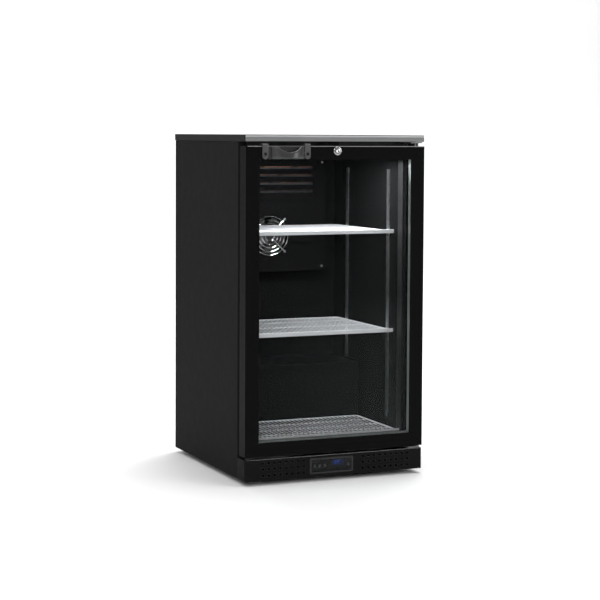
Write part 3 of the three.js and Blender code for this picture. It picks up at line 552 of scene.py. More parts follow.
def oval(cu, cv, half_u, half_v, corner, steps=4):
    """A rounded rectangle as a list of points, anticlockwise."""
    r = min(corner, half_u, half_v)
    points = []
    for su, sv, start in ((1, 1, 0), (-1, 1, 90), (-1, -1, 180), (1, -1, 270)):
        points += arc(cu + su * (half_u - r), cv + sv * (half_v - r), r, start, start + 90, steps)
    return points


def filled(bm, loops, place, depth):
    """A flat face with holes: the first loop is its outline. Returns the rows of vertices."""
    rows = [[bm.verts.new(place(u, v, depth)) for u, v in loop] for loop in loops]
    corners = [v for row in rows for v in row]
    for triangle in tessellate_polygon([[Vector((u, v, 0)) for u, v in loop] for loop in loops]):
        bm.faces.new([corners[i] for i in triangle])
    return rows


def perforated(bm, outer, holes, place, front, thick, rim=0.0003):
    """A sheet with holes whose front rims are rolled in; a hole is a function of how far it is opened out."""
    direction = 1 if thick > 0 else -1
    necks = [outer] + [hole(0) for hole in holes]
    tops = filled(bm, [outer] + [hole(rim) for hole in holes], place, front)
    bottoms = filled(bm, necks, place, front + thick)
    bridge(bm, [tops[0], bottoms[0]])
    for neck, top, bottom in zip(necks[1:], tops[1:], bottoms[1:]):
        waist = [bm.verts.new(place(u, v, front + direction * rim)) for u, v in neck]
        bridge(bm, [top, waist, bottom])


def bake_modifiers(obj):
    """Replaces an object's mesh by what its modifiers make of it."""
    graph = bpy.context.evaluated_depsgraph_get()
    mesh = bpy.data.meshes.new_from_object(obj.evaluated_get(graph))
    obj.modifiers.clear()
    obj.data = mesh


def carve(obj, *cutters):
    """Cuts closed bmesh solids out of a piece."""
    for bm in cutters:
        bmesh.ops.recalc_face_normals(bm, faces=bm.faces)
        mesh = bpy.data.meshes.new("cutter")
        bm.to_mesh(mesh)
        bm.free()
        tool = bpy.data.objects.new("cutter", mesh)
        bpy.context.scene.collection.objects.link(tool)
        modifier = obj.modifiers.new("carve", "BOOLEAN")
        modifier.operation = "DIFFERENCE"
        modifier.solver = "EXACT"
        modifier.object = tool
        bake_modifiers(obj)
        bpy.data.objects.remove(tool)
    bm = bmesh.new()
    bm.from_mesh(obj.data)
    soften(bm)
    bm.to_mesh(obj.data)
    bm.free()
    flatten(obj)
    return obj


# ---- Placement ----------------------------------------------------------------------------------
class Box:
    """A CAD node's box at rest, in metres."""

    def __init__(self, node):
        self.low, self.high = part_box(node)
        self.x0, self.y0, self.z0 = self.low
        self.x1, self.y1, self.z1 = self.high
        self.centre = (self.low + self.high) / 2
        self.size = self.high - self.low


TOP = Box("worktop")
PLINTH = Box("plinth_grille")
COLD = Box("liner")
RAIL_TOP = Box("door_rail_top")


# ---- Stage --------------------------------------------------------------------------------------
def make_stage():
    """A pale floor that curves up into a pale wall."""
    paint = Paint("studio_paper", (0.86, 0.86, 0.86), 0.9, specular=0.1)
    paint.bump(paint.noise(30, 2), 0.02, 0.001)
    material = paint.done(paint.mottle(1.5, 0.01))
    bm = bmesh.new()
    reach, front, back, bend, height = 14.0, -16.0, 5.0, 2.5, 9.0
    curve = [(y, z + bend) for y, z in arc(back, 0, bend, -90, 0, 16)]
    profile = [(front, 0.0), *curve, (back + bend, height)]
    rows = [[bm.verts.new((x, y, z)) for y, z in profile] for x in (-reach, reach)]
    bridge(bm, rows, closed_ring=False)
    soften(bm)
    mesh = bpy.data.meshes.new("studio_floor")
    bm.to_mesh(mesh)
    bm.free()
    floor = bpy.data.objects.new("studio_floor", mesh)
    bpy.context.scene.collection.objects.link(floor)
    mesh.materials.append(material)


def area_light(name, place, aim, size, watts, colour=(1, 1, 1)):
    """A rectangular light at place that shines towards aim."""
    data = bpy.data.lights.new(name, "AREA")
    data.shape = "RECTANGLE"
    data.size, data.size_y = size
    data.energy = watts
    data.color = colour
    light = bpy.data.objects.new(name, data)
    turn = (Vector(place) - Vector(aim)).to_track_quat("Z", "Y").to_matrix().to_4x4()
    light.matrix_world = Matrix.Translation(place) @ turn
    bpy.context.scene.collection.objects.link(light)
    return light


def make_light():
    """Soft light from above and the left, and a washed wall behind."""
    world = bpy.data.worlds.new("studio")
    bpy.context.scene.world = world
    world.use_nodes = True
    background = world.node_tree.nodes["Background"].inputs
    background["Color"].default_value = (1, 1, 1, 1)
    background["Strength"].default_value = 0.3
    area_light("overhead", (0.3, -0.2, 3.8), (0, 0, 0.4), (1.8, 1.8), 85)
    area_light("front_bank", (-3.0, -5.4, 2.8), (0, 0, 0.5), (2.4, 2.4), 125)
    area_light("left_key", (-1.5, 0.1, 2.4), (-0.25, 0.0, 0.85), (0.9, 0.9), 12)
    area_light("right_strip", (3.0, -3.0, 1.6), (0, -0.25, 0.7), (1.4, 2.2), 38)
    area_light("wall_wash", (3.6, 2.6, 5.0), (2.6, 7.5, 1.4), (4.5, 1.2), 200)
    area_light("floor_wash", (1.5, 2.5, 4.5), (1.4, 3.6, 0.0), (4.5, 2.0), 190)
    bpy.context.scene.view_settings.view_transform = "Standard"


make_stage()
make_light()

FINISHES = {
    "casing_black": CASING_BLACK, "door_black": DOOR_BLACK, "plinth_black": PLINTH_BLACK,
    "moulded_black": MOULDED_BLACK, "gasket_rubber": RUBBER, "zinc_plate": ZINC, "chrome": CHROME,
    "aluminium": ALUMINIUM, "liner": LINER_PAINTED_SHADE, "shelf_white": SHELF_WHITE, "foam": FOAM, "door_glass": GLASS,
    "tinted_window": SMOKED, "lamp": LAMP, "key_plastic": KEY_BLACK,
}
for node, obj in NODES.items():
    slot = obj.data.materials[0].name.split(".")[0]
    obj.data.materials.clear()
    obj.data.materials.append(FINISHES[slot])


# ---- Fasteners ----------------------------------------------------------------------------------
def screws(name, places, axis, radius, height, material, body):
    """Pan-head screws with a cross recess; the heads stand on places and point along axis."""
    heads, cuts = bmesh.new(), bmesh.new()
    axis = Vector(axis)
    u, v = basis(axis)
    turns = (0, 0.35, 0.7, 1.05, 1.35)
    dome = [(radius * math.cos(t), height * (0.25 + 0.75 * math.sin(t))) for t in turns]
    under = [(0, -0.0004), (radius * 0.98, -0.0004), (radius, 0)]
    for place in places:
        place = Vector(place)
        lathe(heads, place, axis, [*under, *dome, (0, height)], 28)
        rows = []
        for depth, shrink in ((height * 1.2, 1.0), (height * 0.3, 0.6)):
            far, near = radius * 0.55 * shrink, radius * 0.13
            quarter = [(far, near), (near, near), (near, far)]
            outline = []
            for _ in range(4):
                outline += quarter
                quarter = [(-b, a) for a, b in quarter]
            rows.append([cuts.verts.new(place + axis * depth + u * a + v * b) for a, b in outline])
        loft(cuts, rows)
    obj = piece(name, heads, material, body)
    return carve(obj, cuts)


def hexagon(bm, centre, axis, across, start, end, bore):
    """A bored hexagon nut with chamfered corners."""
    r = across / math.sqrt(3)
    chamfer = (end - start) * 0.15
    profile = [(bore, start), (r * 0.9, start), (r, start + chamfer), (r, end - chamfer), (r * 0.9, end)]
    lathe(bm, centre, axis, [*profile, (bore, end), (bore, start)], 6)


# ---- Worktop and casing -------------------------------------------------------------------------
def build_worktop():
    """A folded sheet with a grey front edge, partly trim colour and partly painted reflection, and along its
    top a lighter lip that is a painted highlight.
    """
    rounded("worktop", 0.0006, WORKTOP_BLACK)
    lower, upper, seam = TOP.z0 + 0.0007, TOP.z1 - 0.0013, TOP.z1 - 0.0058
    corner, proud, thick = 0.007, 0.0003, 0.0006
    left = arc(TOP.x0 + corner, TOP.y0 + corner, corner, 225, 270, 6)
    right = arc(TOP.x1 - corner, TOP.y0 + corner, corner, 270, 315, 6)
    outer = arc(TOP.x0 + corner, TOP.y0 + corner, corner + proud, 225, 270, 6)
    outer += arc(TOP.x1 - corner, TOP.y0 + corner, corner + proud, 270, 315, 6)
    for name, z0, z1, paint in (
        ("worktop_front_trim_reflection", lower, seam, TRIM_AND_REFLECTION_GREY), ("worktop_front_lip_highlight", seam, upper, LIP_HIGHLIGHT_GREY),
    ):
        bm = bmesh.new()
        rows = []
        for (ox, oy), (mx, my) in zip(outer, left + right):
            out = Vector((ox - mx, oy - my, 0))
            inner = Vector((mx, my, 0)) - out.normalized() * thick
            rows.append([
                bm.verts.new((inner.x, inner.y, z0)), bm.verts.new((mx, my, z0)),
                bm.verts.new((ox, oy, z0 + proud)), bm.verts.new((ox, oy, z1 - proud)),
                bm.verts.new((mx, my, z1)), bm.verts.new((inner.x, inner.y, z1)),
            ])
        loft(bm, rows)
        piece(name, bm, paint, CASE)


def build_casing():
    """Side panels, foam, and the sheet parts round the machinery."""
    for node in ("side_panel_left", "side_panel_right"):
        rounded(node, 0.0009, CASING_BLACK)
    rounded("foam_body", 0.003, FOAM)
    rounded("bay_panel", 0.0003, ZINC, segments=2)
    rounded("base_tray", 0.0003, ZINC, segments=2)
    rounded("breaker_frame", 0.0008, MOULDED_BLACK)


def pressed_sheet(name, rect, pockets, y, thick, depth, node):
    """A zinc sheet at the back with shallow pockets pressed inwards."""
    x0, x1, z0, z1 = rect
    outer = [(x0, z0), (x1, z0), (x1, z1), (x0, z1)]
    bm = bmesh.new()
    edges = []
    for shift in (0, -thick):
        loops = [outer] + [oval(*pocket, 0.012) for pocket in pockets]
        rows = filled(bm, loops, along_y, y + shift)
        for (cu, cv, half_u, half_v), rim in zip(pockets, rows[1:]):
            floor = oval(cu, cv, half_u - 0.006, half_v - 0.006, 0.008)
            bottom = [bm.verts.new((u, y + shift - depth, v)) for u, v in floor]
            bridge(bm, [rim, bottom])
            bm.faces.new(bottom)
        edges.append(rows[0])
    bridge(bm, edges)
    piece(name, bm, ZINC, CASE, (node,), 5)


def build_back():
    """Back panel, and the rear grille with its louvres and screws."""
    sheet = Box("back_panel")
    width = sheet.size.x / 2
    pockets = [
        (sheet.centre.x + side * width * 0.49, sheet.z0 + sheet.size.z * at, width * 0.42, sheet.size.z * 0.2)
        for side in (-1, 1) for at in (0.26, 0.74)
    ]
    rect = (sheet.x0, sheet.x1, sheet.z0, sheet.z1)
    pressed_sheet("back_panel_pressed", rect, pockets, sheet.y1, sheet.size.y, 0.0008, "back_panel")

    grille = Box("rear_grille")
    bm = bmesh.new()
    slots = []
    slot_rows, lowest, spread = 9, 0.06, 0.145
    for row in range(slot_rows):
        z = lowest + row * spread / (slot_rows - 1)
        for x0, x1 in ((-0.215, -0.025), (0.025, 0.175)):
            slots.append(((x0 + x1) / 2, z, (x1 - x0) / 2))
    inlet = Box("mains_inlet")
    gland_r = 0.0093
    holes = [lambda grow, s=s: oval(s[0], s[1], s[2] + grow, 0.003 + grow, 0.003) for s in slots]
    holes.append(lambda grow: arc(inlet.centre.x, inlet.centre.z, gland_r + grow, 0, 345, 23))
    outer = [
        (grille.x0, grille.z0), (grille.x1, grille.z0), (grille.x1, grille.z1), (grille.x0, grille.z1),
    ]
    perforated(bm, outer, holes, along_y, grille.y1, -grille.size.y)
    piece("rear_grille_sheet", bm, ZINC, CASE, ("rear_grille",))
    bm = bmesh.new()
    curl = 0.006
    for cx, cz, half in slots:
        z, y = cz + 0.0036, grille.y0 - 0.0002
        run = [(z, y)] + [(z - curl * math.sin(t), y - curl * (1 - math.cos(t))) for t in (0.35, 0.7, 1.05)]
        back = [(z - 0.0003, y - 0.0007) for z, y in reversed(run)]
        prism(bm, [(y, z) for z, y in run + back], along_x, cx - half + 0.002, cx + half - 0.002)
    piece("rear_grille_louvres", bm, ZINC, CASE)
    places = [
        (x, grille.y1, z)
        for x in (grille.x0 + 0.01, grille.centre.x - 0.006, grille.x1 - 0.01)
        for z in (grille.z0 + 0.008, grille.z1 - 0.007)
    ]
    places += [(x, sheet.y1, sheet.z1 - 0.008) for x in (sheet.x0 + 0.01, sheet.centre.x, sheet.x1 - 0.01)]
    places += [(x, sheet.y1, sheet.centre.z) for x in (sheet.x0 + 0.01, sheet.x1 - 0.01)]
    flush = [(x, y - 0.0017, z) for x, y, z in places]
    screws("back_screws", flush, Y_AXIS, 0.0035, 0.0019, ZINC, CASE)


def build_inlet():
    """The cable gland with its nut; no cord."""
    inlet = Box("mains_inlet")
    x, z = inlet.centre.x, inlet.centre.z
    centre = (x, 0, z)
    bm = bmesh.new()
    profile = [(0.004, inlet.y0), (0.0078, inlet.y0), (0.0086, inlet.y0 + 0.0008)]
    y = inlet.y0 + 0.002
    while y < inlet.y1 - 0.012:
        profile += [(0.009, y), (0.0086, y + 0.0005), (0.009, y + 0.001)]
        y += 0.0014
    profile += [
        (0.009, inlet.y1 - 0.0012), (0.0098, inlet.y1 - 0.001), (0.0098, inlet.y1 - 0.0003),
        (0.0092, inlet.y1), (0.0052, inlet.y1), (0.0044, inlet.y1 - 0.0015), (0.004, inlet.y1 - 0.004),
        (0.004, inlet.y0),
    ]
    lathe(bm, centre, Y_AXIS, profile, 40)
    hexagon(bm, centre, Y_AXIS, 0.0225, inlet.y1 - 0.0088, inlet.y1 - 0.0018, 0.0091)
    piece("mains_inlet_gland", bm, MOULDED_BLACK, CASE, ("mains_inlet",), 30)


def build_feet():
    """Four levelling feet with threaded stems."""
    for foot in ("foot_front_left", "foot_front_right", "foot_rear_left", "foot_rear_right"):
        box = Box(foot)
        r = box.size.x / 2
        bm = bmesh.new()
        centre = (box.centre.x, box.centre.y, 0)
        pad = [
            (0, 0.0006), (r * 0.8, 0.0006), (r * 0.86, 0), (r * 0.96, 0.0004), (r, 0.0018), (r, 0.003),
            (r * 0.95, 0.0042), (r * 0.8, 0.0062), (r * 0.62, 0.008), (r * 0.5, 0.009), (0.0045, 0.009),
        ]
        stem, z = [], 0.0092
        while z < box.z1 - 0.0018:
            stem += [(0.0045, z), (0.0039, z + 0.0005)]
            z += 0.001
        tip = [(0.0039, box.z1 - 0.0006), (0.0032, box.z1), (0, box.z1)]
        lathe(bm, centre, Z_AXIS, pad + stem + tip, 40)
        hexagon(bm, centre, Z_AXIS, 0.013, 0.0086, 0.0122, 0.0043)
        piece(foot + "_levelling", bm, MOULDED_BLACK, foot, (foot,), 32)


# ---- Plinth and controls ------------------------------------------------------------------------
def hole(x, z, grow=0.0):
    """The outline of one hole of the plinth, opened out by grow."""
    return oval(x, z, HOLE_HALF_WIDTH + grow, HOLE_HALF_HEIGHT + grow, HOLE_CORNER + grow)


def build_plinth():
    """A bent front sheet with rows of holes and their rims; lighter sills under the holes and a lighter top
    edge, both painted highlights; and near-black filters behind, whose colour also paints the shade inside.
    """
    bezel = Box("control_bezel")
    sheet, corner = PLINTH_SHEET, PLINTH_CORNER
    x0, x1, y0, y1 = PLINTH.x0, PLINTH.x1, PLINTH.y0, PLINTH.y1
    outer = [(x0, y1), *arc(x0 + corner, y0 + corner, corner, 180, 270, 8)]
    outer += [*arc(x1 - corner, y0 + corner, corner, 270, 360, 8), (x1, y1)]
    inner = [(x1 - sheet, y1), *arc(x1 - corner, y0 + corner, corner - sheet, 360, 270, 8)]
    inner += [*arc(x0 + corner, y0 + corner, corner - sheet, 270, 180, 8), (x0 + sheet, y1)]
    bm = bmesh.new()
    edge = 0.0005
    outline = outer + inner
    levels = ((PLINTH.z0, edge), (PLINTH.z0 + edge, 0), (PLINTH.z1 - edge, 0), (PLINTH.z1, edge))
    mid = [((a + b) / 2, (c + d) / 2) for (a, c), (b, d) in zip(outline, reversed(outline))]
    rows = []
    for z, inset in levels:
        row = []
        for (x, y), (mx, my) in zip(outline, mid):
            reach = math.hypot(mx - x, my - y) or 1
            row.append(bm.verts.new((x + (mx - x) / reach * inset, y + (my - y) / reach * inset, z)))
        rows.append(row)
    bridge(bm, rows)
    for row in (rows[0], rows[-1]):
        count = len(row)
        for i in range(count // 2 - 1):
            bm.faces.new((row[i], row[i + 1], row[count - 2 - i], row[count - 1 - i]))
    low = (x0 + corner, y0 + 0.0012, PLINTH.z1 - 0.0015)
    bevelled_box(bm, low, (x1 - corner, y0 + 0.014, PLINTH.z1 - 0.0001), 0.0004, 2)
    shell = piece("plinth_panel", bm, PLINTH_BLACK, CASE, ("plinth_grille",))

    cuts, rims, sill_highlights = bmesh.new(), bmesh.new(), bmesh.new()
    rolled = ((0.0001, 0.0016), (0, 0.0001), (-0.0002, -0.0001), (-0.0005, 0), (-0.0006, 0.0004),
              (-0.0006, 0.0032), (-0.0002, 0.0032))
    for x in HOLE_COLUMNS:
        for z in HOLE_ROWS:
            prism(cuts, hole(x, z), along_y, y0 - 0.002, y0 + 0.004)
            rings = [[rims.verts.new((u, y0 + y, v)) for u, v in hole(x, z, grow)] for grow, y in rolled]
            bridge(rims, rings, closed_rows=True)
            # A lighter bar under each hole: a painted highlight on its lower lip.
            sill, reach = z - HOLE_HALF_HEIGHT, 0.0032
            low = (x - reach, y0 + 0.0001, sill - 0.0006)
            bevelled_box(sill_highlights, low, (x + reach, y0 + 0.0014, sill + 0.0003), 0.0003, 2)
    grow = 0.0003
    half_x, half_z = bezel.size.x / 2 + grow, bezel.size.z / 2 + grow
    prism(cuts, oval(bezel.centre.x, bezel.centre.z, half_x, half_z, 0.003), along_y, y0 - 0.002, y0 + 0.004)
    carve(shell, cuts)
    piece("plinth_hole_rims", rims, RIM_BLACK, CASE)
    piece("plinth_hole_sill_highlights", sill_highlights, SILL_HIGHLIGHT_GREY, CASE)
    # A lighter strip along the top edge: a painted highlight.
    low = (x0 + corner, y0 + 0.0001, PLINTH.z1 - 0.0013)
    strip = (low, (x1 - corner, y0 + 0.0024, PLINTH.z1), 0.0005, 2)
    boxes("plinth_top_edge_highlight", [strip], EDGE_HIGHLIGHT_GREY, CASE)
    # Near-black filters behind the holes: dust filters that also stand for the shade inside the plinth.
    margin, front, back = 0.0075, y0 + 0.0032, y0 + 0.0072
    bottom, top = HOLE_ROWS[0] - margin, HOLE_ROWS[-1] + margin
    mats = [
        ((left - margin, front, bottom), (right + margin, back, top), 0.0008)
        for left, right in ((HOLE_COLUMNS[0], HOLE_COLUMNS[7]), (HOLE_COLUMNS[8], HOLE_COLUMNS[-1]))
    ]
    boxes("intake_filters_shade", mats, FILTER_SHADE_BLACK, CASE)


SEGMENTS = {"0": "abcdef", "3": "abgcd"}


def digit(bm, text, x, z, width, height, y):
    """One seven-segment digit: hexagonal bars standing a little off the board."""
    t = width * 0.16
    w, h = width / 2, height / 2
    bars = {
        "a": (0, h, True, w), "d": (0, -h, True, w), "g": (0, 0, True, w),
        "f": (-w, h / 2, False, h / 2), "b": (w, h / 2, False, h / 2),
        "e": (-w, -h / 2, False, h / 2), "c": (w, -h / 2, False, h / 2),
    }
    for name in SEGMENTS[text]:
        cx, cz, flat, half = bars[name]
        half -= t * 0.35
        tip = half - t / 2
        shape = [(-half, 0), (-tip, -t / 2), (tip, -t / 2), (half, 0), (tip, t / 2), (-tip, t / 2)]
        if not flat:
            shape = [(b, a) for a, b in reversed(shape)]
        slant = 0.12
        outline = [(x + cx + a + (cz + b) * slant, z + cz + b) for a, b in shape]
        prism(bm, outline, along_y, y, y + 0.0003)


def key_holes():
    """Cutters that clear the four keys through the window and the board."""
    holes = bmesh.new()
    for i in (1, 2, 3, 4):
        key = Box(f"control_key_{i}")
        r, reach = key.size.x / 2 + 0.0003, key.size.y + 0.002
        start = (key.centre.x, key.y0 - 0.001, key.centre.z)
        lathe(holes, start, Y_AXIS, [(0, 0), (r, 0), (r, reach), (0, reach)], 36)
    return holes


def build_controls():
    """Bezel, tinted window, and behind it a board with lit digits; four keys come through both."""
    window, gap, margin = Box("control_window"), 0.0006, 0.0012
    rounded("control_bezel", 0.0008, BEZEL_BLACK)
    whole = (window.low, window.high, 0.0005)
    pane = boxes("control_window_pane", [whole], SMOKED, CASE, ("control_window",))
    carve(pane, key_holes())
    board_y = window.y1 + gap
    low = (window.x0 + margin, board_y, window.z0 + margin)
    sheet = (low, (window.x1 - margin, board_y + 0.0016, window.z1 - margin), 0.0003, 2)
    carve(boxes("display_board", [sheet], BOARD_BLACK, CASE), key_holes())
    low = (DISPLAY_X - 0.017, board_y - 0.0002, DISPLAY_Z - 0.008)
    glow = (low, (DISPLAY_X + 0.017, board_y + 0.0002, DISPLAY_Z + 0.007), 0.0001, 2)
    boxes("display_backlight", [glow], HALO_BLUE, CASE)
    bm = bmesh.new()
    front = board_y - 0.0005
    for offset, text in ((-0.0072, "0"), (0.0, "3")):
        digit(bm, text, DISPLAY_X + offset, DISPLAY_Z, DIGIT_WIDTH, DIGIT_HEIGHT, front)
    degree = [(0.0004, 0), (0.0008, 0), (0.0008, 0.0003), (0.0004, 0.0003), (0.0004, 0)]
    lathe(bm, (DISPLAY_X + 0.0058, front, DISPLAY_Z + 0.0033), Y_AXIS, degree, 16)
    piece("display_digits", bm, DIGIT_BLUE, CASE)
    for i in (1, 2, 3, 4):
        key = Box(f"control_key_{i}")
        r, c = key.size.x / 2, key.centre
        profile = [(0, 0.0005), (r * 0.55, 0.00035), (r * 0.62, 0.0001), (r * 0.8, 0), (r * 0.93, 0.0002)]
        profile += [(r, 0.0007), (r, key.size.y), (0, key.size.y)]
        turned(f"control_key_{i}_cap", (c.x, key.y0, c.z), Y_AXIS, profile, 36, KEY_BLACK,
               f"key_{i}", (f"control_key_{i}",))


# ---- Door ---------------------------------------------------------------------------------------
def off_mitre(edge):
    """True for an edge that isn't on a mitred end."""
    normals = [face.normal for face in edge.link_faces]
    return all(abs(abs(n.x) - abs(n.z)) > 0.25 or abs(n.y) > 0.5 for n in normals)


def top_arris(edge):
    """True for the door's long upper front edge."""
    return all(v.co.z > RAIL_TOP.z1 - 0.0005 and v.co.y < RAIL_TOP.y0 + 0.0005 for v in edge.verts)


def build_door():
    """Frame, double glazing, gasket, closer and hinges."""
    for node in ("door_stile_left", "door_stile_right", "door_rail_bottom"):
        rounded(node, 0.0007, DOOR_BLACK, DOOR, only=off_mitre)
    rounded("door_rail_top", 0.0022, DOOR_BLACK, DOOR, segments=4, only=top_arris)
    # A lighter grey strip along the door's top front edge: a painted highlight where the rail's arris catches
    # light.
    low = (RAIL_TOP.x0 + 0.004, RAIL_TOP.y0 - 0.0002, RAIL_TOP.z1 - 0.0016)
    bead = (low, (RAIL_TOP.x1 - 0.002, RAIL_TOP.y0 + 0.003, RAIL_TOP.z1 + 0.0003), 0.0008)
    boxes("door_top_highlight_strip", [bead], DOOR_TOP_HIGHLIGHT_GREY, DOOR)
    for node in ("pane_outer", "pane_inner"):
        rounded(node, 0.0004, GLASS, DOOR, segments=1)
    bar = Box("spacer_bar")
    width = bar.z1 - RAIL_TOP.z0 - 0.0004
    rect = (bar.x0, bar.x1, bar.z0 + 0.003, bar.z1)
    d = bar.size.y
    section = [
        (0, 0.001), (0.001, 0), (width - 0.003, 0), (width - 0.0022, 0.0007), (width - 0.0012, 0.0007),
        (width - 0.0006, 0), (width, 0.0006), (width, d - 0.0006), (width - 0.0006, d), (0.001, d),
        (0, d - 0.001),
    ]
    bm = bmesh.new()
    ring(bm, rect, section, bar.y0)
    piece("glass_spacer", bm, SPACER_METAL, DOOR, ("spacer_bar",))

    gasket = Box("door_gasket")
    t = gasket.size.y
    section = [
        (0.0, 0.0), (0.0, 0.0016), (0.0022, 0.0022), (0.0004, 0.0036), (0.0024, 0.0048), (0.0008, 0.0062),
        (0.0014, t - 0.0008), (0.003, t), (0.0138, t), (0.0152, t - 0.001), (0.0148, 0.006), (0.013, 0.0046),
        (0.015, 0.0034), (0.0134, 0.002), (0.0168, 0.0014), (0.0176, 0.0),
    ]
    bm = bmesh.new()
    ring(bm, (gasket.x0, gasket.x1, gasket.z0, gasket.z1), section, gasket.y0)
    piece("door_gasket_bellows", bm, RUBBER, DOOR, ("door_gasket",), 50)

    closer = Box("closer_bar")
    r = closer.size.x / 2
    tall = closer.size.z
    profile = [(0, 0), (r * 0.8, 0), (r, 0.0005), (r, tall - 0.012), (r * 0.85, tall - 0.011)]
    profile += [(r * 0.85, tall - 0.0005), (r * 0.6, tall), (0, tall)]
    turned("closer_torsion_bar", (closer.centre.x, closer.centre.y, closer.z0), Z_AXIS, profile, 20, ZINC,
           DOOR, ("closer_bar",))
    for node in ("hinge_bush_lower", "hinge_bush_upper"):
        rounded(node, 0.0004, MOULDED_BLACK, DOOR, segments=2, angle=50)
    for node in ("hinge_bracket_lower", "hinge_bracket_upper"):
        rounded(node, 0.0004, HINGE_GREY, angle=40)
    upper, plate = Box("hinge_bracket_upper"), 0.003
    at = [(upper.x0 + run, upper.y1 - 0.01, upper.z1 - plate) for run in (0.012, 0.034)]
    screws("hinge_screws", at, -Z_AXIS, 0.0032, 0.0016, ZINC, CASE)


def build_lock():
    """Turned barrel, and a plug with a dished face and a key slot."""
    barrel, plug = Box("lock_barrel"), Box("lock_plug")
    c = barrel.centre
    r, deep, bore = barrel.size.x / 2, barrel.size.y, 0.0063
    profile = [(bore, 0.0006), (0.0068, 0.0001), (r * 0.7, 0), (r * 0.88, 0.0003), (r * 0.97, 0.001)]
    profile += [(r, 0.0018), (r, 0.0031), (0.0085, 0.0031), (0.0085, deep - 0.0005), (0.008, deep)]
    profile += [(bore, deep), (bore, 0.0006)]
    turned("lock_barrel_turned", (c.x, barrel.y0, c.z), Y_AXIS, profile, 64, LOCK_CHROME,
           DOOR, ("lock_barrel",))
    r, deep = plug.size.x / 2, plug.size.y
    profile = [(0, 0.0006), (0.0026, 0.0005), (0.0034, 0), (r * 0.8, 0), (r * 0.94, 0.0003), (r, 0.0009)]
    profile += [(r, deep - 0.0004), (r * 0.92, deep), (0, deep)]
    cap = turned("lock_plug_turned", (c.x, plug.y0, c.z), Y_AXIS, profile, 56, CHROME,
                 LOCK, ("lock_plug",))
    wide, narrow, tall = 0.0009, 0.0004, 0.003
    slot = [(-wide, tall), (-wide, 0.0008), (-narrow, 0.0004), (-wide, 0.0), (-wide, -tall),
            (wide, -tall), (wide, -0.0012), (narrow, -0.0008), (wide, -0.0004), (wide, tall)]
    cuts = bmesh.new()
    prism(cuts, [(c.x + u, c.z + v) for u, v in slot], along_y, plug.y0 - 0.002, plug.y0 + 0.006)
    carve(cap, cuts)
    rounded("lock_cam", 0.0003, ZINC, LOCK, segments=2, angle=50)
    rounded("lock_keeper", 0.0004, CASING_BLACK, segments=2)


def build_handle():
    """Two screwed clips, and between them a bulging grip whose crest dips towards a recess; a light grey tube
    on the crest is a painted highlight, and the near-black back plate and screw cups are painted shade.
    """
    for node in ("handle_clip_left", "handle_clip_right"):
        rounded(node, 0.0014, CLIP_BLACK, DOOR, segments=4, angle=35)
    left, right, scoop = Box("handle_clip_left"), Box("handle_clip_right"), Box("handle_scoop")
    places = [(b.centre.x, b.y0 + 0.0001, b.z0 + 0.013) for b in (left, right)]
    # The screw cups are near black: painted shade in the hollows round the screws.
    cup = [(0.003, 0.0003), (0.0036, 0.0008), (0.0044, 0.001), (0.005, 0.0008), (0.0053, 0.0)]
    cup += [(0.0053, -0.0006), (0.003, -0.0006), (0.003, 0.0003)]
    cups = bmesh.new()
    for place in places:
        lathe(cups, place, -Y_AXIS, cup, 32)
    piece("handle_screw_cups", cups, RECESS_SHADE_BLACK, DOOR)
    flush = [(x, y - 0.0001, z) for x, y, z in places]
    screws("handle_screws", flush, -Y_AXIS, 0.0028, 0.0006, SCREW_BLACK, DOOR)

    wall, plate, columns = SCOOP_WALL, 0.002, 40
    face = scoop.y1 - plate
    floor = scoop.z0 + SCOOP_FLOOR
    middle, half, bulge = (SCOOP_X0 + SCOOP_X1) / 2, (SCOOP_X1 - SCOOP_X0) / 2, face - scoop.y0
    bead = wall * 0.62
    rounding = (0, 0.5, 1.0, 1.57, 2.1, 2.6)
    bm = bmesh.new()
    rows, crest = [], []
    for i in range(columns + 1):
        u = -math.cos(math.pi * i / columns)
        x = middle + half * u
        reach = max(0.003, bulge * (1 - u * u) ** 0.75)
        dx = min(abs(x - DIP_X), DIP_RADIUS - 1e-6)
        rim = min(scoop.z1, DIP_Z + DIP_RADIUS - math.sqrt(DIP_RADIUS ** 2 - dx ** 2))
        inner = max(reach - wall, 0.0004)
        lip = min(bulge, reach + 0.0004) - bead
        section = [(0.0, scoop.z0)]
        for k in (0, 0.5, 1):
            section.append((reach * (0.8 + 0.2 * k) - 0.003 * (1 - k), scoop.z0 + 0.003 * k * k))
        section += [(reach, scoop.z0 + (rim - scoop.z0) * k) for k in (0.3, 0.5, 0.7, 0.85)]
        section += [(lip + bead * math.cos(t), rim - bead + bead * math.sin(t)) for t in rounding]
        section += [(inner, rim - wall), (inner, floor + 0.002), (max(inner - 0.002, 0), floor), (0.0, floor)]
        rows.append([bm.verts.new((x, face - out, z)) for out, z in section])
        crest.append((x, face - min(reach, bulge - 0.0006) + bead * 0.9, rim - 0.0006))
    loft(bm, rows)
    piece("handle_scoop_pocket", bm, HANDLE_BLACK, DOOR, ("handle_scoop",), 50)
    # The back plate is near black: painted shade in the recess behind the grip.
    gap = 0.0003
    back = ((left.x1 + gap, face - 0.0002, scoop.z0), (right.x0 - gap, scoop.y1, scoop.z1), 0.0007)
    boxes("handle_back_plate", [back], RECESS_SHADE_BLACK, DOOR)
    # A light grey tube along the crest: a painted highlight.
    bm = bmesh.new()
    tube(bm, crest[9:-7], 0.0007, 10)
    piece("handle_scoop_crest_highlight", bm, CREST_HIGHLIGHT_GREY, DOOR)


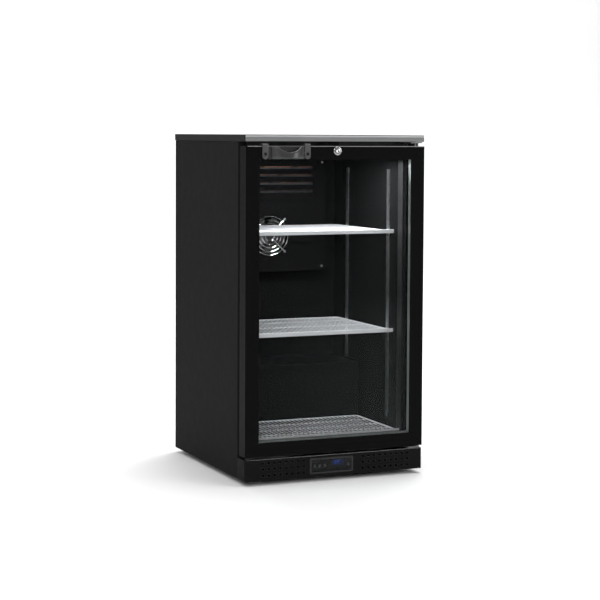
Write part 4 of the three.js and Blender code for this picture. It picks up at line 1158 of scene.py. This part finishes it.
# ---- Inside -------------------------------------------------------------------------------------
def inside_liner(edge):
    """True for an edge on the liner's inner surface, away from its mouth."""
    wall = 0.003
    middle = (edge.verts[0].co + edge.verts[1].co) / 2
    across = COLD.x0 + 0.0005 < middle.x < COLD.x1 - 0.0005
    upright = COLD.z0 + 0.0005 < middle.z < COLD.z1 - 0.0005
    deep = COLD.y0 + wall < middle.y < COLD.y1 - 0.0005
    return across and upright and deep and not edge.is_convex


def build_liner():
    """The liner, and the lamp under its roof."""
    # The liner is near black: painted shade for the dim inside.
    rounded("liner", 0.007, LINER_PAINTED_SHADE, segments=5, only=inside_liner)
    housing, lens = Box("lamp_housing"), Box("lamp_diffuser")
    rounded("lamp_housing", 0.0012, MOULDED_BLACK)
    rounded("lamp_diffuser", 0.0012, LAMP, segments=4)
    cap = 0.006
    ends = [
        ((x, housing.y0, lens.z0), (x + cap, housing.y1, housing.z1), 0.001)
        for x in (housing.x0 - cap, housing.x1)
    ]
    boxes("lamp_end_caps", ends, MOULDED_BLACK, CASE)
    under = (lens.centre.x, lens.centre.y, lens.z0 - 0.002)
    aim = (lens.centre.x, lens.centre.y + 0.03, 0.1)
    area_light("strip_lamp", under, aim, (lens.size.x * 0.96, 0.014), 3.6, (0.93, 0.97, 1.0))


def build_pilasters():
    """Four slotted rails, and a hooked clip in each under each shelf."""
    hook = [(0, 0), (0, -0.011), (0.0008, -0.012), (0.0016, -0.011), (0.0016, -0.0016), (0.004, -0.0016)]
    hook += [(0.005, -0.0008), (0.005, 0.0)]
    clips = bmesh.new()
    for node in ("pilaster_front_left", "pilaster_front_right", "pilaster_rear_left", "pilaster_rear_right"):
        rounded(node, 0.0003, ALUMINIUM, segments=2)
        box = Box(node)
        side = 1 if box.centre.x > 0 else -1
        face = box.x0 if side > 0 else box.x1
        for shelf in ("shelf_upper", "shelf_lower"):
            z = Box(shelf).z0 + 0.0016
            y = box.centre.y
            outline = [(face - side * (0.0002 + u), z + v) for u, v in hook]
            prism(clips, outline, along_y, y - 0.0055, y + 0.0055)
    piece("shelf_clips", clips, ZINC, CASE)


def build_shelf(node):
    """Front-to-back wires bent over a front rail, on three stays and a rim; the floor rack also has legs."""
    box = Box(node)
    bm = bmesh.new()
    z = box.z1 - SHELF_RAIL + 0.0045
    level, front, curl = z + 0.0005, box.y0 + 0.0036, 0.002
    back = box.y1 - ROD
    count, margin = 34, 0.01
    for i in range(count):
        x = box.x0 + margin + (box.size.x - 2 * margin) * i / (count - 1)
        turns = (math.pi, 2.6, 2.1, 1.6)
        bend = [(x, front + curl * math.cos(t), level - curl + curl * math.sin(t)) for t in turns]
        run = [(x, front, z - 0.0035), *bend, (x, box.centre.y, level), (x, back, level)]
        tube(bm, run, WIRE, 8)
    x0, x1, y0, y1 = box.x0 + ROD, box.x1 - ROD, box.y0 + 0.006, back
    under = z - WIRE - STAY + 0.0006
    for y in (box.y0 + 0.06, box.centre.y, box.y1 - 0.06):
        tube(bm, [(x0, y, under), (x1, y, under)], STAY, 10)
    corner = 0.008
    left, right, near, far = x0 + corner, x1 - corner, y0 + corner, y1 - corner
    loop = []
    for cx, cy, start in ((right, far, 0), (left, far, 90), (left, near, 180), (right, near, 270)):
        loop += [(x, y, z - 0.0008) for x, y in arc(cx, cy, corner, start, start + 90, 5)]
    tube(bm, loop, ROD, 10, closed=True)
    bevelled_box(bm, (box.x0, box.y0, box.z1 - SHELF_RAIL), (box.x1, box.y0 + 0.0022, box.z1), 0.0008)
    if box.z0 < box.z1 - SHELF_RAIL - 0.001:
        tall = z - box.z0
        leg = [(0, 0), (0.0016, 0), (ROD, 0.0008), (ROD, tall), (0, tall)]
        for x in (x0, x1):
            for y in (box.y0 + 0.03, box.y1 - 0.008):
                lathe(bm, (x, y, box.z0), Z_AXIS, leg, 12)
    piece(node + "_wires", bm, SHELF_WHITE, node, (node,))


# ---- Cooling ------------------------------------------------------------------------------------
def fan_rotor(node, axis, body, blades, material):
    """Hub and swept, cambered blades about an axis."""
    box = Box(node)
    axis = Vector(axis)
    u, v = basis(axis)
    c = box.centre
    depth = box.size.dot(axis)
    radius = max(box.size) / 2
    hub = radius * 0.3
    bm = bmesh.new()
    lathe(bm, c, axis, [
        (0, -depth * 0.5), (hub * 0.75, -depth * 0.5), (hub * 0.95, -depth * 0.42), (hub, -depth * 0.3),
        (hub, depth * 0.45), (hub * 0.9, depth * 0.5), (0, depth * 0.5),
    ], 36)
    thick = 0.0007
    spans, chords = 8, 8
    for b in range(blades):
        start = 2 * math.pi * b / blades
        sheets = []
        for lift in (-thick, thick):
            rows = []
            for i in range(spans + 1):
                s = i / spans
                r = hub * 0.96 + (radius - hub * 0.96) * s
                half = 0.4 + 0.1 * math.sin(math.pi * s)
                sweep = 0.28 * s * s
                row = []
                for k in range(chords + 1):
                    w = k / chords * 2 - 1
                    turn = start + sweep + w * half
                    pitch = (0.36 - 0.1 * s) * depth * w * 1.1
                    camber = 0.1 * depth * (1 - w * w)
                    h = max(-depth * 0.49, min(depth * 0.49, pitch + camber)) + lift
                    row.append(bm.verts.new(c + (u * math.cos(turn) + v * math.sin(turn)) * r + axis * h))
                rows.append(row)
            bridge(bm, rows, closed_ring=False)
            sheets.append(rows)
        low, high = sheets
        rims = [
            [(low[0][k], high[0][k]) for k in range(chords + 1)],
            [(low[i][chords], high[i][chords]) for i in range(spans + 1)],
            [(low[spans][k], high[spans][k]) for k in range(chords, -1, -1)],
            [(low[i][0], high[i][0]) for i in range(spans, -1, -1)],
        ]
        for rim in rims:
            for (a, b2), (d, e) in zip(rim, rim[1:]):
                bm.faces.new((a, d, e, b2))
    piece(node + "_rotor", bm, material, body, (node,), 45)


def fin_coil(node, fin_axis, fins, rows, columns, tube_radius):
    """Thin plates threaded on copper hairpins, with end plates."""
    box = Box(node)
    fin_axis = Vector(fin_axis)
    along = 0 if fin_axis.x else 1
    across = 1 - along
    bm = bmesh.new()
    start, end = box.low[along], box.high[along]
    margin = tube_radius * 2.4
    for i in range(fins):
        at = start + margin + (end - start - 2 * margin) * i / (fins - 1)
        heavy = i in (0, fins - 1)
        half = 0.0006 if heavy else 0.0002
        grow = 0.0 if heavy else 0.0008
        low, high = list(box.low), list(box.high)
        low[along], high[along] = at - half, at + half
        low[across] += grow
        high[across] -= grow
        low[2] += grow
        high[2] -= grow
        bevelled_box(bm, low, high, half * 0.6, 1)
    piece(node + "_fins", bm, FIN_METAL, CASE, (node,))
    bm = bmesh.new()
    step_z = box.size.z / rows
    step_c = box.size[across] / columns
    points = []
    for column in range(columns):
        for row in range(rows):
            level = row if column % 2 == 0 else rows - 1 - row
            place = [0, 0, box.z0 + (level + 0.5) * step_z]
            place[across] = box.low[across] + (column + 0.5) * step_c
            points.append(place)
    inner, outer = start + margin, end - margin
    path = []
    for i, place in enumerate(points):
        first, last = (inner, outer) if i % 2 == 0 else (outer, inner)
        here, there = list(place), list(place)
        here[along], there[along] = first, last
        path += [here, there]
        if i + 1 < len(points):
            following = list(points[i + 1])
            following[along] = last
            a, b = Vector(there), Vector(following)
            mid, half = (a + b) / 2, (a - b) / 2
            bulge = Vector((0, 0, 0))
            bulge[along] = (margin - tube_radius) * (1 if last == outer else -1)
            turns = (0.5, 1.05, 1.57, 2.1, 2.65)
            path += [tuple(mid + half * math.cos(t) + bulge * math.sin(t)) for t in turns]
    tube(bm, path, tube_radius, 10)
    piece(node + "_hairpins", bm, COPPER, CASE)


def build_evaporator():
    """Cover with a wire guard over the fan, the fan and its motor, and the coil."""
    cover = Box("fan_cover")
    # The fan cover shares the liner's near black: painted shade.
    rounded("fan_cover", 0.0012, LINER_PAINTED_SHADE, angle=40)
    fan = Box("evaporator_fan")
    fan_rotor("evaporator_fan", Y_AXIS, "evaporator_fan", 5, MOULDED_BLACK)
    fin_coil("evaporator_coil", X_AXIS, 44, 5, 2, 0.004)
    guard = bmesh.new()
    c = Vector((0, cover.y0 - 0.0012, fan.centre.z))
    turns = [2 * math.pi * i / 48 for i in range(48)]
    circle = [Vector((math.cos(t), 0, math.sin(t))) for t in turns]
    for r in (0.014, 0.024, 0.034, 0.044, 0.054):
        tube(guard, [c + d * r for d in circle], 0.0008, 8, closed=True)
    spokes = circle[6::12]
    raised = c + Vector((0, 0.0012, 0))
    for d in spokes:
        foot = c + d * 0.0615 + Vector((0, 0.0004, 0))
        tube(guard, [raised + d * 0.012, raised + d * 0.056, foot], 0.001, 8)
    piece("fan_guard", guard, CHROME, CASE)
    places = [c + d * 0.064 + Vector((0, 0.0008, 0)) for d in spokes]
    inset = 0.012
    for x in (cover.x0 + inset, cover.x1 - inset):
        places += [(x, cover.y0, z) for z in (cover.z0 + inset, cover.z1 - inset)]
    screws("fan_cover_screws", places, -Y_AXIS, 0.0034, 0.0016, ZINC, CASE)
    motor = Box("evaporator_motor")
    c = Vector((0, motor.y0, fan.centre.z))
    bm = bmesh.new()
    lathe(bm, c, Y_AXIS, [
        (0, 0.0003), (0.004, 0.0), (0.004, 0.0012), (0.0165, 0.0014), (0.019, 0.0028), (0.02, 0.005),
        (0.02, 0.012), (0.0186, 0.015), (0.016, 0.016), (0, 0.0162),
    ], 40)
    for z in (c.z - 0.006, c.z + 0.006):
        tube(bm, [(motor.x0, motor.y1 - 0.0016, z), (motor.x1, motor.y1 - 0.0016, z)], 0.0014, 8)
    low = (motor.x0, motor.y1 - 0.0024, c.z - 0.008)
    bevelled_box(bm, low, (motor.x1, motor.y1 - 0.0002, c.z + 0.008), 0.0005, 2)
    piece("evaporator_motor_can", bm, ZINC, CASE, ("evaporator_motor",))


def build_compressor():
    """A welded shell on a base with four rubber mounts and a terminal cover."""
    comp = Box("compressor")
    c = Vector((COMPRESSOR_X, comp.centre.y, 0))
    r, seam = COMPRESSOR_RADIUS, COMPRESSOR_SEAM
    profile = [(0, 0.03), (r * 0.45, 0.0305), (r * 0.72, 0.034), (r * 0.9, 0.042), (r * 0.985, 0.054)]
    profile += [(r, 0.066), (r, seam - 0.004), (r + 0.0026, seam - 0.0028), (r + 0.0032, seam - 0.0015)]
    profile += [(r + 0.0032, seam + 0.0015), (r + 0.0024, seam + 0.0028), (r, seam + 0.004), (r, 0.144)]
    profile += [(r * 0.985, 0.152), (r * 0.93, 0.162), (r * 0.8, 0.171), (r * 0.58, 0.178)]
    profile += [(r * 0.28, 0.1814), (0, 0.182)]
    turned("compressor_shell", c, Z_AXIS, profile, 64, COMPRESSOR_BLACK,
           CASE, ("compressor",))
    plate = comp.z0 + 0.0125
    feet = [
        ((comp.x0, y - 0.009, plate), (comp.x1, y + 0.009, plate + 0.003), 0.0008, 2)
        for y in (c.y - MOUNT_REACH, c.y + MOUNT_REACH)
    ]
    low, high = (c.x - 0.03, comp.y0 + 0.004, plate), (c.x + 0.03, comp.y1 - 0.004, plate + 0.005)
    boxes("compressor_base", [*feet, (low, high, 0.0008, 2)], ZINC, CASE)
    bm = bmesh.new()
    bolts = []
    mount = [(0.003, 0), (0.0078, 0), (0.0086, 0.002), (0.0072, 0.004), (0.0086, 0.006), (0.0072, 0.008)]
    mount += [(0.0086, 0.01), (0.008, 0.0122), (0.003, 0.0122), (0.003, 0)]
    for x in (comp.x0 + 0.012, comp.x1 - 0.012):
        for y in (c.y - MOUNT_REACH, c.y + MOUNT_REACH):
            lathe(bm, (x, y, comp.z0), Z_AXIS, mount, 28)
            bolts.append((x, y, plate + 0.003))
    piece("compressor_mounts", bm, RUBBER, CASE)
    screws("compressor_bolts", bolts, Z_AXIS, 0.0055, 0.003, ZINC, CASE)
    side = c.x + r
    cover = ((side - 0.006, c.y - 0.02, 0.11), (comp.x1, c.y + 0.02, 0.15), 0.0035, 4)
    skirt = ((side - 0.004, c.y - 0.014, 0.102), (comp.x1 - 0.004, c.y + 0.014, 0.112), 0.0015, 2)
    boxes("compressor_terminal_cover", [cover, skirt], MOULDED_BLACK, CASE)
    return c


def build_condenser():
    """Coil, fan, and the fan's motor on its bracket, with the condensate tray above."""
    rounded("condensate_tray", 0.0012, MOULDED_BLACK)
    fin_coil("condenser_coil", Y_AXIS, 38, 6, 2, 0.0035)
    fan_rotor("condenser_fan", X_AXIS, "condenser_fan", 5, ALUMINIUM)
    fan, motor = Box("condenser_fan"), Box("condenser_motor")
    axle = Vector((motor.x0, fan.centre.y, fan.centre.z))
    can = [
        (0, 0), (0.004, 0), (0.004, 0.0015), (0.0195, 0.002), (0.0228, 0.004), (0.0238, 0.007),
        (0.024, 0.016), (0.0225, 0.0165), (0.0225, 0.018), (0.024, 0.0185), (0.024, 0.027),
        (0.0225, 0.031), (0.018, 0.0335), (0, 0.034),
    ]
    turned("condenser_motor_can", axle, X_AXIS, can, 44, COMPRESSOR_BLACK,
           CASE, ("condenser_motor",))
    x, z = motor.x0 + 0.011, motor.z0
    web = ((x, axle.y - 0.01, z + 0.001), (x + 0.003, axle.y + 0.01, axle.z - 0.02), 0.0005, 2)
    foot = ((motor.x0 + 0.0018, axle.y - 0.022, z), (motor.x1 - 0.01, axle.y + 0.022, z + 0.003), 0.0006, 2)
    boxes("condenser_motor_bracket", [web, foot], ZINC, CASE)


def build_pipes(c):
    """The compressor's discharge and suction pipes, and the drier; c is the compressor's axis."""
    coil = Box("condenser_coil")
    r = COMPRESSOR_RADIUS
    behind, left = c.y + r + 0.01, c.x - r
    runs = [
        [(c.x - 0.02, c.y + r * 0.8, 0.132), (c.x - 0.026, behind - 0.002, 0.14), (c.x - 0.05, behind, 0.15),
         (0.02, behind, 0.198), (-0.06, behind, 0.206), (-0.15, behind - 0.004, 0.206),
         (coil.x0 + 0.02, coil.y1 - 0.02, 0.204), (coil.x0 + 0.016, coil.y1 - 0.008, 0.18)],
        [(left + 0.006, c.y - 0.026, 0.128), (left - 0.01, c.y - 0.034, 0.13),
         (left - 0.022, c.y - 0.044, 0.15), (left - 0.024, c.y - 0.06, 0.19),
         (left - 0.018, c.y - 0.07, 0.212), (left + 0.02, c.y - 0.076, 0.218)],
    ]
    pipes = bmesh.new()
    for run in runs:
        tube(pipes, smooth_path(run), 0.003, 12)
    piece("refrigerant_pipes", pipes, COPPER, CASE, angle=60)
    half = [(0, 0.048), (0.003, 0.048), (0.0034, 0.042), (0.0075, 0.036), (0.0092, 0.032), (0.0095, 0.028)]
    profile = [(radius, -along) for radius, along in half] + half[::-1]
    drier = Vector((DRIER_X, c.y - 0.066, DRIER_Z))
    turned("filter_drier", drier, (0.35, 0, 0.94), profile, 32, COPPER, CASE)


def smooth_path(points, steps=6):
    """A Catmull-Rom curve through points."""
    points = [Vector(p) for p in points]
    ends = [2 * points[0] - points[1], *points, 2 * points[-1] - points[-2]]
    path = []
    for a, b, c, d in zip(ends, ends[1:], ends[2:], ends[3:]):
        for i in range(steps):
            t = i / steps
            square, cube = 2 * a - 5 * b + 4 * c - d, 3 * b - a - 3 * c + d
            path.append(0.5 * (2 * b + (c - a) * t + square * t * t + cube * t ** 3))
    path.append(points[-1])
    return path


build_worktop()
build_casing()
build_back()
build_inlet()
build_feet()
build_plinth()
build_controls()
build_door()
build_lock()
build_handle()
build_liner()
build_pilasters()
build_shelf("shelf_upper")
build_shelf("shelf_lower")
build_shelf("floor_rack")
build_evaporator()
axis = build_compressor()
build_condenser()
build_pipes(axis)
